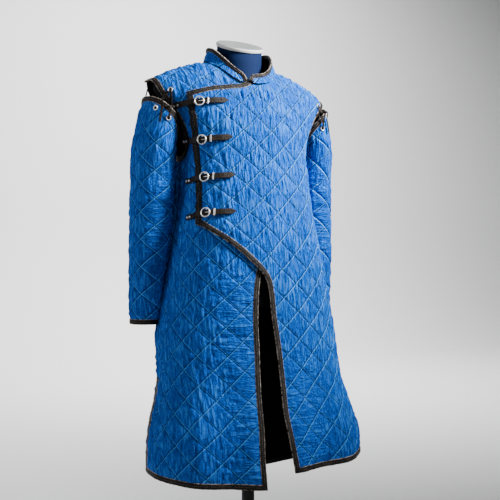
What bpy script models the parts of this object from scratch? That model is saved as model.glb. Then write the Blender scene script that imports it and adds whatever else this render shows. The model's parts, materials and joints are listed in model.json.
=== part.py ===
"""A quilted gambeson on a limbless dress form.

A knee-length padded coat, quilted in diamonds and bound in leather. The left front laps over the
right one, where four buckled straps hold it. The sleeves are laced to the armholes. The coat hangs
on the shoulders of a dress form that stands on a pole and a round base.

Frame: +Z up, the front faces -Y, the wearer's left is +X. The origin is the middle of the base's
underside. Metres.

The body is one smooth surface, worked out from the table LEVELS below the chest and from quarter
ellipses above it, which close at the shoulder line. A point of the cloth is given by (u, v, h):
u is the length round the body from the centre of the front or back (positive to the wearer's
left), v is the length up the cloth from the chest line, and h is the height over the inner wall.
"""
import math
from collections import namedtuple

import bmesh
import bpy
import numpy as np
from mathutils import Matrix, Vector
from mathutils.bvhtree import BVHTree
from mathutils.geometry import delaunay_2d_cdt

# ------------------------------------------------------------------ driving dimensions
CHEST_Z = 1.190                 # height of the fullest chest, v = 0
RIDGE_TOP = 1.412               # shoulder line, carried on over the neck
RIDGE_DROP = 0.084              # how far it has dropped at RIDGE_HALF
RIDGE_TILT = 0.061              # the wearer's right shoulder is held higher, by this share of x
RIDGE_HALF = 0.257              # half the shoulder width
RIDGE_Y = 0.067                 # the shoulder line lies this far back

Level = namedtuple("Level", "name z half_width front back y_mid square")
LEVELS = [
    Level("hem",   0.380, 0.272, 0.190, 0.190, -0.045, 2.20),
    Level("skirt", 0.500, 0.262, 0.186, 0.186, -0.036, 2.20),
    Level("vent",  0.610, 0.230, 0.174, 0.172, -0.012, 2.25),
    Level("hip",   0.720, 0.221, 0.172, 0.162,  0.008, 2.30),
    Level("belly", 0.860, 0.199, 0.169, 0.150,  0.022, 2.35),
    Level("waist", 0.950, 0.182, 0.160, 0.143,  0.029, 2.50),
    Level("ribs",  1.060, 0.166, 0.142, 0.136,  0.038, 2.55),
    Level("chest", 1.190, 0.161, 0.134, 0.130,  0.052, 2.60),
]

RIDGE_RISE = 1.3                # how the half width opens from the chest to the shoulder line

WALL = 0.0035                   # the quilt at a stitch line
PUFF = 0.0050                   # how far a diamond stands over its stitch lines
FLAT = 0.30                     # share of the puff left where something presses on it
SEAM = 0.0002                   # half the gap between two pieces at a seam
GAP = 0.0003                    # between pieces that touch
LIFT = 0.0088                   # the overlap rides this far over the underlap
EDGE_STEP = 0.026               # points along a panel's outline

DIAMOND_W = 0.0365              # half the width of a quilted diamond
DIAMOND_H = 0.0335              # half its height
LATTICE_U = -0.015              # a stitch crossing of the fronts lies at this u, v = 0
RING = 0.55                     # the flat top's share of a diamond
STITCH_CLEAR = 0.0055           # stitch lines end this far from an outline
RING_CLEAR = 0.0095

BINDING_W = 0.0120              # leather binding, its width beyond the cloth
BINDING_T = 0.0047              # and its thickness
VENT_GAP = 0.0030               # half the gap between the bindings of a side vent

NECK_HALF = 0.085               # half the neck hole's width, on the shoulder line
NOTCH_U = -0.010                # the collar opens here
NOTCH_V = 0.156
BACK_NECK_DROP = 0.066
ARMPIT_V = -0.036
VENT_V = -0.565                 # top of the side vents
SEAM_SHIFT = {1: -0.020, -1: 0.046}     # the coat hangs a little turned: side seams at the vents
HEM = {"right_front": -0.787, "left_front": -0.756, "back_panel": -0.826}
HEM_SIDE = {"right_front": -0.774, "left_front": -0.745, "back_panel": -0.778}

SLEEVE_TOP = 1.340
SLEEVE_BOTTOM = 0.764
SLEEVE_BACK = {1: 0.014, -1: -0.006}    # the left sleeve hangs further back than the right one
HEAD_LOW = 1.172                # the sleeve head under the arm
HEAD_RISE = 0.130               # its outer side is this much higher
HEAD_FULL = 0.50                # under 1, the head stays high round to the front and back

COLLAR_WALL = 0.0048
COLLAR_UP = 0.0020              # its base seam stands this far over the panels
COLLAR_HEIGHT = 0.025
COLLAR_BACK_HEIGHT = 0.025      # the collar is this much higher at the back
COLLAR_LEAN = 0.84              # the top edge's size against the base seam's
COLLAR_CORNER = 0.010

STRAP_W = 0.0145
STRAP_T = 0.0020
RING_R = 0.0110                 # buckle ring, to the middle of its wire
WIRE_R = 0.0015
BAR_R = 0.0011
EYELET_R = 0.0052
EYELET_WIRE = 0.0013
LACE_W = 0.0050
LACE_T = 0.0015

FORM_CLEAR = 0.0115             # the form lies this far inside the cloth
FORM_TOUCH = 0.0007             # and this far at the shoulder line, which carries the coat
FORM_BOTTOM = 0.800
POLE_R = 0.0160
NECK_LEAN = math.radians(22)    # the form's neck is cut off square to this lean
NECK_TOP = Vector((0.0, 0.0528, 1.4520))
NECK_R = 0.0580
CAP_R = 0.0610
BASE_R = 0.170
BASE_T = 0.022


def hermite(xs, ys, x):
    """A smooth curve through the points (xs, ys), level at its last point."""
    xs = np.asarray(xs, float)
    ys = np.asarray(ys, float)
    slopes = np.gradient(ys, xs)
    slopes[-1] = 0.0
    i = int(np.clip(np.searchsorted(xs, x) - 1, 0, len(xs) - 2))
    step = xs[i + 1] - xs[i]
    t = (x - xs[i]) / step
    return float(ys[i] * (1 + 2 * t) * (1 - t) ** 2 + slopes[i] * step * t * (1 - t) ** 2
                 + ys[i + 1] * t * t * (3 - 2 * t) + slopes[i + 1] * step * t * t * (t - 1))


def ridge_height(x):
    """Height of the shoulder line, before its tilt."""
    return RIDGE_TOP - RIDGE_DROP * (x / RIDGE_HALF) ** 2


def shoulder_tilt(x, rise):
    """How much higher the tilted shoulders are at x; rise is 1 on the shoulder line."""
    return -RIDGE_TILT * x * rise ** 2


class Body:
    """The inner wall of one side of the body, 'front' or 'back'."""

    ARC_STEPS = 64
    LEVEL_STEPS = 60
    TURN_STEPS = 30

    def __init__(self, side):
        self.sign = -1.0 if side == "front" else 1.0
        self.other = None               # the other side, where the ring goes on past its end
        depth = "front" if side == "front" else "back"
        heights = [row.z for row in LEVELS]
        zs = np.linspace(LEVELS[0].z - 0.06, CHEST_Z, self.LEVEL_STEPS + 1)
        rows = []
        for z in zs:
            rows.append([hermite(heights, [getattr(r, c) for r in LEVELS], max(z, heights[0]))
                         for c in ("half_width", depth, "y_mid", "square")] + [z, 0.0])
        top = LEVELS[-1]
        for turn in np.linspace(0.0, math.pi / 2, self.TURN_STEPS + 1)[1:]:
            rise = math.sin(turn)
            rows.append([top.half_width + (RIDGE_HALF - top.half_width) * rise ** RIDGE_RISE,
                         getattr(top, depth) * max(math.cos(turn), 0.0),
                         top.y_mid + (RIDGE_Y - top.y_mid) * rise,
                         top.square, CHEST_Z, rise])
        self.rows = np.array(rows)
        self.levels = np.concatenate([zs - CHEST_Z, np.linspace(0, 1, self.TURN_STEPS + 1)[1:]])
        self.ends = np.zeros(len(rows))
        self.table = np.zeros((len(rows), self.ARC_STEPS + 1, 2))
        for k, (half, deep, mid, square, _z, _rise) in enumerate(rows):
            self.table[k], self.ends[k] = self.section(half, deep, mid, square)
        self.meridians()

    def section(self, half, deep, mid, square):
        """A quarter of a rounded-square ring, from its middle to its side, at even lengths."""
        angle = np.linspace(0.0, math.pi / 2, 721)
        x = half * np.sin(angle) ** (2 / square)
        y = mid + self.sign * deep * np.cos(angle) ** (2 / square)
        y[-1] = mid
        run = np.concatenate([[0.0], np.cumsum(np.hypot(np.diff(x), np.diff(y)))])
        even = np.linspace(0.0, run[-1], self.ARC_STEPS + 1)
        return np.stack([np.interp(even, run, x), np.interp(even, run, y)], 1), run[-1]

    def meridians(self):
        """Lengths up the cloth from the chest line to the shoulder line, for a row of u."""
        self.mer_u = np.linspace(0.0, 0.30, 61)
        self.mer_turn = np.linspace(0.0, 1.0, self.TURN_STEPS + 1)
        self.mer_len = np.zeros((len(self.mer_u), len(self.mer_turn)))
        for i, u in enumerate(self.mer_u):
            pts = np.array([self.at_level(u, t) for t in self.mer_turn])
            self.mer_len[i, 1:] = np.cumsum(np.linalg.norm(np.diff(pts, axis=0), axis=1))

    def at_level(self, u, level):
        """The point at length u along the ring of a level (metres below, turn 0 to 1 above)."""
        k = float(np.interp(level, self.levels, np.arange(len(self.levels))))
        i = min(int(k), len(self.levels) - 2)
        t = k - i
        out = np.zeros(2)
        rise = (1 - t) * self.rows[i, 5] + t * self.rows[i + 1, 5]
        if level > 0:
            rise = math.sin(min(level, 1.0) * math.pi / 2)
        for row, weight in ((i, 1 - t), (i + 1, t)):
            f = min(abs(u) / self.ends[row], 1.0) * self.ARC_STEPS
            j = min(int(f), self.ARC_STEPS - 1)
            g = f - j
            out += weight * ((1 - g) * self.table[row, j] + g * self.table[row, j + 1])
        x, y = out
        z = CHEST_Z + level if level <= 0 else CHEST_Z + (ridge_height(x) - CHEST_Z) * rise
        x = math.copysign(x, u)
        return np.array([x, y, z + (shoulder_tilt(x, rise) if level > 0 else 0.0)])

    def level_of(self, u, v):
        if v <= 0:
            return v
        k = min(abs(u) / self.mer_u[1], len(self.mer_u) - 1.001)
        i = int(k)
        lengths = (1 - k + i) * self.mer_len[i] + (k - i) * self.mer_len[i + 1]
        return float(np.interp(v, lengths, self.mer_turn))

    def end(self, v):
        """Length from the centre to the side seam at v, below the armhole."""
        return float(np.interp(min(v, 0.0), self.levels, self.ends))

    def ridge(self, u):
        """v of the shoulder line at u."""
        k = min(abs(u) / self.mer_u[1], len(self.mer_u) - 1.001)
        i = int(k)
        return float((1 - k + i) * self.mer_len[i, -1] + (k - i) * self.mer_len[i + 1, -1])

    def v_at(self, u, z):
        """v where the cloth at u reaches the height z."""
        if z <= CHEST_Z:
            return z - CHEST_Z
        turn = np.linspace(0.0, 1.0, 181)
        heights = [self.at_level(u, t)[2] for t in turn]
        level = float(np.interp(z, heights, turn))
        k = min(abs(u) / self.mer_u[1], len(self.mer_u) - 1.001)
        i = int(k)
        lengths = (1 - k + i) * self.mer_len[i] + (k - i) * self.mer_len[i + 1]
        return float(np.interp(level, self.mer_turn, lengths))

    def base(self, u, v):
        if v <= 0.0 and self.other and abs(u) > self.end(v):
            past = abs(u) - self.end(v)
            return self.other.at_level(math.copysign(self.other.end(v) - past, u), v)
        return self.at_level(u, self.level_of(u, v))

    def point(self, u, v, h):
        """A point at height h over the inner wall."""
        step = 0.004
        du = self.base(u + step, v) - self.base(u - step, v)
        dv = self.base(u, v + step) - self.base(u, v - step)
        n = np.cross(dv, du) * self.sign
        size = np.linalg.norm(n)
        return self.base(u, v) + n / size * h


class Sleeve:
    """The inner wall of one sleeve: u runs round it from its outer line, positive to the front."""

    Row = namedtuple("Row", "name z x half_x half_y y_mid")
    ROWS = [
        Row("cuff",    0.764, 0.2500, 0.0280, 0.0380, 0.086),
        Row("wrist",   0.865, 0.2450, 0.0340, 0.0480, 0.083),
        Row("elbow",   1.000, 0.2340, 0.0440, 0.0600, 0.083),
        Row("biceps",  1.130, 0.2290, 0.0450, 0.0670, 0.081),
        Row("armpit",  1.190, 0.2270, 0.0450, 0.0730, 0.076),
        Row("head",    1.255, 0.2135, 0.0460, 0.0750, 0.071),
        Row("top",     1.340, 0.2000, 0.0430, 0.0700, 0.070),
    ]
    TURN_STEPS = 72

    def __init__(self, side):
        self.side = side                       # +1 the wearer's left, -1 the right
        self.zs = [row.z for row in self.ROWS]

    def ring(self, z):
        """Centre, half sizes and a table of lengths round the ring at height z."""
        x, half_x, half_y, y_mid = (hermite(self.zs, [getattr(r, c) for r in self.ROWS], z)
                                    for c in ("x", "half_x", "half_y", "y_mid"))
        y_mid += SLEEVE_BACK[self.side]
        turn = np.linspace(0.0, math.pi, self.TURN_STEPS + 1)
        px, py = half_x * np.cos(turn), half_y * np.sin(turn)
        run = np.concatenate([[0.0], np.cumsum(np.hypot(np.diff(px), np.diff(py)))])
        return x, half_x, half_y, y_mid, turn, run

    def end(self, v):
        """Length from the outer line to the seam under the arm, at v (= height below 0)."""
        return self.ring(SLEEVE_TOP + v)[5][-1]

    def point(self, u, v, h):
        """v is negative down the sleeve, from SLEEVE_TOP."""
        x, half_x, half_y, y_mid, turn, run = self.ring(SLEEVE_TOP + v)
        angle = math.copysign(float(np.interp(abs(u), run, turn)), u)
        across = np.array([math.cos(angle) / half_x, -math.sin(angle) / half_y])
        across /= np.linalg.norm(across)
        px = x + half_x * math.cos(angle) + across[0] * h
        py = y_mid - half_y * math.sin(angle) + across[1] * h
        return np.array([self.side * px, py, SLEEVE_TOP + v])

    def head(self, angle):
        """Height of the sleeve head, round the ring: high outside, low under the arm."""
        return HEAD_LOW + HEAD_RISE * ((1 + math.cos(angle)) / 2) ** HEAD_FULL


FRONT = Body("front")
BACK = Body("back")
FRONT.other, BACK.other = BACK, FRONT

# Soft folds of the skirt: they start at v_top and are full at the hem.
Fold = namedtuple("Fold", "side u_top u_hem v_top depth width")
FOLDS = [
    Fold("front", -0.200, -0.215, -0.38,  0.010, 0.036),
    Fold("front", -0.135, -0.142, -0.42, -0.009, 0.034),
    Fold("front", -0.068, -0.074, -0.44,  0.008, 0.028),
    Fold("front",  0.012,  0.020, -0.42,  0.008, 0.028),
    Fold("front",  0.088,  0.094, -0.40, -0.010, 0.036),
    Fold("front",  0.160,  0.176, -0.38,  0.011, 0.040),
    Fold("back",  -0.190, -0.222, -0.36,  0.012, 0.042),
    Fold("back",  -0.098, -0.112, -0.40, -0.012, 0.040),
    Fold("back",   0.004,  0.006, -0.42,  0.011, 0.042),
    Fold("back",   0.104,  0.120, -0.38, -0.013, 0.040),
    Fold("back",   0.196,  0.226, -0.40,  0.012, 0.040),
]

# The overlap's leading edge: across the chest, down the right side, and back to the middle.
LEFT_EDGE = [(NOTCH_U, NOTCH_V), (-0.034, 0.1435), (-0.070, 0.1355), (-0.110, 0.127),
             (-0.160, 0.112)]
LEFT_BORDER = [(-0.160, 0.112), (-0.157, 0.070), (-0.154, 0.000), (-0.152, -0.075),
               (-0.157, -0.145), (-0.162, -0.186)]
LEFT_CURVE = [(-0.162, -0.186), (-0.131, -0.207), (-0.101, -0.228), (-0.076, -0.249),
              (-0.050, -0.275), (-0.027, -0.300), (-0.012, -0.324), (-0.005, -0.355),
              (-0.001, -0.410), (0.006, -0.480), (0.008, -0.570), (0.005, -0.640),
              (0.010, -0.700), (0.018, HEM["left_front"])]
# The underlap's free edge, from the notch down.
RIGHT_EDGE = [(0.004, 0.150), (0.006, 0.060), (0.004, -0.060), (-0.006, -0.160), (-0.028, -0.255),
              (-0.049, -0.325), (-0.058, -0.400), (-0.061, -0.500), (-0.066, -0.580),
              (-0.071, -0.650), (-0.076, -0.720), (-0.074, HEM["right_front"])]
# The armhole, from the shoulder tip to the side seam.
ARMHOLE = [(0.229, 0.170), (0.222, 0.131), (0.209, 0.095), (0.193, 0.050), (0.191, 0.010),
           (0.207, -0.023)]
ARMHOLE_TIP = 0.237

Row = namedtuple("Row", "name ring_u ring_v base_v tip_v")
STRAP_ROWS = [
    Row("1", -0.147,  0.096,  0.097,  0.102),
    Row("2", -0.143,  0.012,  0.013,  0.016),
    Row("3", -0.142, -0.083, -0.088, -0.078),
    Row("4", -0.147, -0.170, -0.178, -0.166),
]
STRAP_BASE = -0.068             # the strap's ends, from the ring's middle along u
STRAP_TIP = 0.066

Eyelet = namedtuple("Eyelet", "name side u v")
BODY_EYELETS = [
    Eyelet("front", "front", 0.208, 0.130),
    Eyelet("back",  "back",  0.202, 0.158),
]
# In the sleeve a place is an angle round the head, in degrees, and a drop below its edge.
SLEEVE_EYELETS = {"front": (85.7, 0.0140), "outer": (48.6, 0.0115), "back": (-72.0, 0.0115)}
# A lace leaves its eyelet in the body, crosses the gap and ends on the sleeve. Each row has a
# place and a height over the inner wall, which is 0 where the lace lies on an eyelet.
Lace = namedtuple("Lace", "name side body sleeve")
OVER_BODY_BINDING, OVER_HEAD_BINDING, OVER_QUILT = 0.0109, 0.0137, 0.0090
LACES = [
    Lace("front", "front",
         [(0.2080, 0.1300, 0), (0.2083, 0.1220, 0), (0.2105, 0.1060, OVER_BODY_BINDING)],
         [(84.5, -0.0110, OVER_HEAD_BINDING), (85.0, 0.0020, 0.0096), (85.7, 0.0140, 0)]),
    Lace("outer", "front",
         [(0.2130, 0.1285, 0), (0.2235, 0.1235, OVER_BODY_BINDING)],
         [(64.0, -0.0140, OVER_HEAD_BINDING), (66.0, 0.0010, 0.0096), (66.0, 0.0140, OVER_QUILT),
          (67.0, 0.0370, OVER_QUILT)]),
    Lace("back", "back",
         [(0.2020, 0.1580, 0), (0.2110, 0.1540, 0), (0.2260, 0.1480, OVER_BODY_BINDING)],
         [(-72.0, -0.0145, 0.0134), (-72.0, 0.0005, 0.0091), (-72.0, 0.0115, 0),
          (-72.0, 0.0255, OVER_QUILT), (-72.0, 0.0395, OVER_QUILT), (-72.0, 0.0535, OVER_QUILT)]),
]


# ------------------------------------------------------------------ materials and objects
def material(name, colour, roughness, metallic=0.0):
    made = bpy.data.materials.new(name)
    made.use_nodes = True
    shader = made.node_tree.nodes["Principled BSDF"]
    shader.inputs["Base Color"].default_value = (*colour, 1.0)
    shader.inputs["Roughness"].default_value = roughness
    shader.inputs["Metallic"].default_value = metallic
    return made


def add_object(name, mesh, finish):
    thing = bpy.data.objects.new(name, mesh)
    thing.data.materials.clear()
    thing.data.materials.append(FINISH[finish])
    PARTS.objects.link(thing)
    return thing


def closed_mesh(name, points, faces):
    """A mesh from points and faces, its faces turned outwards."""
    mesh = bpy.data.meshes.new(name)
    mesh.from_pydata([tuple(p) for p in points], [], faces)
    shell = bmesh.new()
    shell.from_mesh(mesh)
    bmesh.ops.recalc_face_normals(shell, faces=shell.faces)
    bmesh.ops.triangulate(shell, faces=shell.faces)
    if shell.calc_volume(signed=True) < 0:
        bmesh.ops.reverse_faces(shell, faces=shell.faces)
    shell.to_mesh(mesh)
    shell.free()
    return mesh


# ------------------------------------------------------------------ curves in the cloth
def through(rows, step=EDGE_STEP):
    """Points at even lengths along a smooth curve through the rows, ends included."""
    rows = np.array(rows, float)
    padded = np.vstack([2 * rows[0] - rows[1], rows, 2 * rows[-1] - rows[-2]])
    fine = []
    for a, b, c, d in zip(padded, padded[1:], padded[2:], padded[3:]):
        for t in np.linspace(0.0, 1.0, 12, endpoint=False):
            fine.append(0.5 * ((2 * b) + (c - a) * t + (2 * a - 5 * b + 4 * c - d) * t * t
                               + (3 * b - a - 3 * c + d) * t ** 3))
    fine = np.array(fine + [rows[-1]])
    run = np.concatenate([[0.0], np.cumsum(np.linalg.norm(np.diff(fine, axis=0), axis=1))])
    even = np.linspace(0.0, run[-1], max(2, round(run[-1] / step) + 1))
    return np.stack([np.interp(even, run, fine[:, k]) for k in range(fine.shape[1])], 1)


def join_runs(*runs):
    """One closed outline from runs that meet end to end."""
    return np.vstack([run[:-1] for run in runs])


def distance(outline, u, v, closed=True):
    """Distance from a point to an outline."""
    a = outline if closed else outline[:-1]
    b = np.roll(outline, -1, axis=0) if closed else outline[1:]
    p = np.array([u, v])
    along = b - a
    t = np.clip(((p - a) * along).sum(1) / (along ** 2).sum(1), 0.0, 1.0)
    return float(np.min(np.linalg.norm(a + along * t[:, None] - p, axis=1)))


def inside(outline, u, v):
    a, b = outline, np.roll(outline, -1, axis=0)
    spans = (a[:, 1] > v) != (b[:, 1] > v)
    with np.errstate(divide="ignore", invalid="ignore"):
        cut = a[:, 0] + (v - a[:, 1]) * (b[:, 0] - a[:, 0]) / (b[:, 1] - a[:, 1])
    return bool(np.count_nonzero(spans & (u < cut)) % 2)


def smooth_step(x):
    x = min(max(x, 0.0), 1.0)
    return x * x * (3 - 2 * x)


# ------------------------------------------------------------------ where the cloth lies
def fold(side, u, v):
    total = 0.0
    for row in FOLDS:
        if row.side == side and v < row.v_top:
            grown = smooth_step((v - row.v_top) / (HEM["back_panel"] - row.v_top))
            middle = row.u_top + (row.u_hem - row.u_top) * grown
            total += row.depth * grown * math.exp(-((u - middle) / row.width) ** 2)
    return total


RIGHT_FREE = through(RIGHT_EDGE)


def lift(u, v):
    """How far the left front is held off by the right front under it."""
    free = float(np.interp(-v, -RIGHT_FREE[:, 1], RIGHT_FREE[:, 0]))
    return LIFT * (1 - smooth_step((u - free - BINDING_W - 0.002) / 0.050))


def place_right(u, v, h):
    return FRONT.point(u, v, h + fold("front", u, v))


def place_left(u, v, h):
    return FRONT.point(u, v, h + fold("front", u, v) + lift(u, v))


def place_back(u, v, h):
    return BACK.point(u, v, h + fold("back", u, v))


# ------------------------------------------------------------------ outlines of the panels
def neck_run(body, start, stop, drop):
    """The neck hole's edge between two values of u, as part of an ellipse."""
    angles = np.linspace(math.asin(start / NECK_HALF), math.asin(stop / NECK_HALF),
                         max(3, round(abs(stop - start) / 0.012)))
    top = body.ridge(NECK_HALF) - SEAM
    return np.array([[NECK_HALF * math.sin(a), top - drop * math.cos(a)] for a in angles])


def shoulder_run(body, side):
    us = np.linspace(NECK_HALF, ARMHOLE_TIP, 7)
    return np.array([[side * u, body.ridge(u) - SEAM] for u in us])


def armhole_run(body, side):
    rows = ([(ARMHOLE_TIP, body.ridge(ARMHOLE_TIP) - SEAM)] + ARMHOLE
            + [(body.end(ARMPIT_V) - SEAM, ARMPIT_V)])
    return through(rows, 0.020) * (side, 1)


def side_end(body, side, v):
    """u of the side seam's line at v, which drifts off the body's side below the armhole."""
    drift = SEAM_SHIFT[side] * smooth_step((ARMPIT_V - v) / (ARMPIT_V - VENT_V))
    return side * (body.end(v) + (drift if body is FRONT else -drift))


def seam_run(body, side):
    vs = np.linspace(ARMPIT_V, VENT_V, 21)
    return np.array([[side_end(body, side, v) - side * SEAM, v] for v in vs])


def vent_run(body, side, hem):
    vs = np.linspace(VENT_V - 0.004, hem, 10)
    inset = BINDING_W + VENT_GAP
    return np.array([[side_end(body, side, v) - side * inset, v] for v in vs])


def straight(a, b):
    count = max(2, round(float(np.linalg.norm(np.subtract(b, a))) / EDGE_STEP) + 1)
    return np.linspace(a, b, count)


NECK_DROP = FRONT.ridge(NECK_HALF) - SEAM - NOTCH_V


def left_front_runs():
    vent = vent_run(FRONT, 1, HEM_SIDE["left_front"])
    neck = neck_run(FRONT, NOTCH_U, NECK_HALF, NECK_DROP)
    return {"neck": neck,
            "shoulder": shoulder_run(FRONT, 1), "armhole": armhole_run(FRONT, 1),
            "seam": seam_run(FRONT, 1), "vent top": np.array([seam_run(FRONT, 1)[-1], vent[0]]),
            "vent": vent, "hem": straight(vent[-1], LEFT_CURVE[-1]),
            "curve": through(LEFT_CURVE)[::-1], "border": through(LEFT_BORDER)[::-1],
            "edge": through([tuple(neck[0])] + LEFT_EDGE[1:])[::-1]}


def right_front_runs():
    vent = vent_run(FRONT, -1, HEM_SIDE["right_front"])
    top = neck_run(FRONT, 0.004, -NECK_HALF, NECK_DROP)
    free = through([tuple(top[0])] + RIGHT_EDGE[1:])
    return {"neck": top,
            "shoulder": shoulder_run(FRONT, -1), "armhole": armhole_run(FRONT, -1),
            "seam": seam_run(FRONT, -1), "vent top": np.array([seam_run(FRONT, -1)[-1], vent[0]]),
            "vent": vent, "hem": straight(vent[-1], RIGHT_EDGE[-1]), "free": free[::-1]}


def back_runs():
    left = vent_run(BACK, 1, HEM_SIDE["back_panel"])
    right = vent_run(BACK, -1, HEM_SIDE["back_panel"])
    low = (0.0, HEM["back_panel"])
    return {"neck": neck_run(BACK, -NECK_HALF, NECK_HALF, BACK_NECK_DROP),
            "shoulder": shoulder_run(BACK, 1), "armhole": armhole_run(BACK, 1),
            "seam": seam_run(BACK, 1), "vent top": np.array([seam_run(BACK, 1)[-1], left[0]]),
            "vent": left, "hem": through([left[-1], low, right[-1]]), "vent 2": right[::-1],
            "vent top 2": np.array([right[0], seam_run(BACK, -1)[-1]]),
            "seam 2": seam_run(BACK, -1)[::-1], "armhole 2": armhole_run(BACK, -1)[::-1],
            "shoulder 2": shoulder_run(BACK, -1)[::-1]}


# ------------------------------------------------------------------ quilted panels
def quilt(outline, origin):
    """Stitch crossings, stitch ends and raised rings inside an outline, and their edges."""
    low, high = outline.min(0), outline.max(0)
    cells_i = range(math.floor((low[0] - origin[0]) / DIAMOND_W) - 1,
                    math.ceil((high[0] - origin[0]) / DIAMOND_W) + 2)
    cells_j = range(math.floor((low[1] - origin[1]) / DIAMOND_H) - 1,
                    math.ceil((high[1] - origin[1]) / DIAMOND_H) + 2)

    def at(i, j):
        return np.array([origin[0] + i * DIAMOND_W, origin[1] + j * DIAMOND_H])

    def clear(p, margin):
        return inside(outline, *p) and distance(outline, *p) > margin

    crossings = {(i, j): at(i, j) for i in cells_i for j in cells_j
                 if (i + j) % 2 == 0 and clear(at(i, j), STITCH_CLEAR + 0.003)}
    stitches = []
    for (i, j), a in crossings.items():
        for di, dj in ((1, 1), (1, -1), (-1, 1), (-1, -1)):
            if (i + di, j + dj) in crossings:
                if di > 0:
                    stitches.append((a, crossings[i + di, j + dj]))
                continue
            b = at(i + di, j + dj)
            reach = 0.0
            for t in np.linspace(0.05, 1.0, 20):
                if not clear(a + (b - a) * t, STITCH_CLEAR):
                    break
                reach = t
            if reach * float(np.linalg.norm(b - a)) > 0.014:
                stitches.append((a, a + (b - a) * reach))
    middles = [(crossings[i, j - 1], crossings[i, j + 1]) for i in cells_i for j in cells_j
               if (i, j - 1) in crossings and (i, j + 1) in crossings]
    rings = []
    for i in cells_i:
        for j in cells_j:
            if (i + j) % 2:
                corners = [at(i, j) + (RING * DIAMOND_W * du, RING * DIAMOND_H * dv)
                           for du, dv in ((1, 0), (0, 1), (-1, 0), (0, -1))]
                rings.append([p if clear(p, RING_CLEAR) else None for p in corners])
    return stitches, middles, rings


def triangles(outline, segments, loose):
    """Triangles in the outline, through every segment and point. Returns points and triangles."""
    points, index, edges = [], {}, []

    def number(p):
        key = (round(float(p[0]), 6), round(float(p[1]), 6))
        if key not in index:
            index[key] = len(points)
            points.append(Vector(key))
        return index[key]

    border = [number(p) for p in outline]
    for a, b in segments:
        edges.append((number(a), number(b)))
    for p in loose:
        number(p)
    made, _edges, faces, *_rest = delaunay_2d_cdt(points, edges, [border], 1, 1e-7)
    if len(made) != len(points):
        raise ValueError("an outline crosses a stitch line")
    return [np.array(p) for p in made], [tuple(f) for f in faces], border


def panel(name, place, outline, pressed, origin=(LATTICE_U, 0.0), plain=False, wall=WALL):
    """A quilted wall: raised diamonds outside, plain inside, closed along its outline."""
    stitches, middles, rings = ([], [], []) if plain else quilt(outline, origin)
    ring_edges, loose = [], []
    for ring in rings:
        for a, b in zip(ring, ring[1:] + ring[:1]):
            if a is not None and b is not None:
                ring_edges.append((a, b))
        loose += [p for p in ring if p is not None]
    raised = {(round(float(p[0]), 6), round(float(p[1]), 6)) for p in loose}
    outer, outer_faces, border = triangles(outline, stitches + ring_edges, loose)
    inner, inner_faces, inner_border = triangles(outline, stitches + middles, [])
    points = []
    for p in outer:
        high = wall
        if (round(float(p[0]), 6), round(float(p[1]), 6)) in raised:
            near = min(1.0, distance(outline, *p) / 0.018)
            high += PUFF * pressed(*p) * near
        points.append(place(p[0], p[1], high))
    first = len(points)
    points += [place(p[0], p[1], 0.0) for p in inner]
    faces = outer_faces + [tuple(first + k for k in reversed(f)) for f in inner_faces]
    count = len(border)
    for k in range(count):
        a, b = border[k - 1], border[k]
        c, d = first + inner_border[k], first + inner_border[k - 1]
        faces += [(a, c, b), (a, d, c)]
    return closed_mesh(name, points, faces)


# ------------------------------------------------------------------ bindings and ribbons
def spot(place, u, v, h=0.0):
    """A point of the cloth and the direction out of it there."""
    low, high = place(u, v, h), place(u, v, h + 0.001)
    return low, (high - low) / np.linalg.norm(high - low)


def sweep(name, rows, closed):
    """A solid through rows of section points."""
    width = len(rows[0])
    points = [p for row in rows for p in row]
    faces = []
    for k in range(len(rows) if closed else len(rows) - 1):
        a, b = k * width, ((k + 1) % len(rows)) * width
        for i in range(width):
            j = (i + 1) % width
            faces.append((a + i, a + j, b + j, b + i))
    if not closed:
        faces += [tuple(range(width))[::-1], tuple((len(rows) - 1) * width + i
                                                   for i in range(width))]
    return closed_mesh(name, points, faces)


# Section of a binding: across (out from the cloth's edge) and up (from its inner wall).
BINDING_SECTION = [(GAP, -0.0004), (BINDING_W - 0.002, -0.0004), (BINDING_W, BINDING_T * 0.45),
                   (BINDING_W - 0.002, BINDING_T - 0.0004), (GAP, BINDING_T - 0.0004)]


SLEEVE_SECTION = [(across + 0.0005 * (across < 0.001), up) for across, up in BINDING_SECTION]


def edge_frames(spots, closed):
    """For each spot its point, the direction away from the panel, the normal and the mitre."""
    frames = []
    count = len(spots)
    for k, (here, normal) in enumerate(spots):
        before = spots[k - 1][0] if k or closed else None
        after = spots[(k + 1) % count][0] if k + 1 < count or closed else None
        legs = [(here - before) if before is not None else None,
                (after - here) if after is not None else None]
        legs = [leg / np.linalg.norm(leg) for leg in legs if leg is not None]
        along = sum(legs) / np.linalg.norm(sum(legs))
        out = np.cross(along, normal)
        out /= np.linalg.norm(out)
        mitre = 1.0 / max(0.66, float(np.dot(legs[0], along)))
        frames.append((here, out, normal, mitre))
    return frames


def binding(name, spots, turn, closed=False, section=BINDING_SECTION):
    """Leather along an edge; turn is +1 or -1, the side of the path that the leather is on."""
    rows = []
    for here, out, normal, mitre in edge_frames(spots, closed):
        rows.append([here + turn * out * across * mitre + normal * up for across, up in section])
    return sweep(name, rows, closed)


def ribbon(name, spots, widths, thickness):
    """A flat strip along spots, lying on them."""
    rows = []
    for (here, out, normal, _mitre), width in zip(edge_frames(spots, False), widths):
        rows.append([here + out * side * width / 2 + normal * up
                     for side, up in ((-1, 0.0), (1, 0.0), (1, thickness), (-1, thickness))])
    return sweep(name, rows, False)


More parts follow.
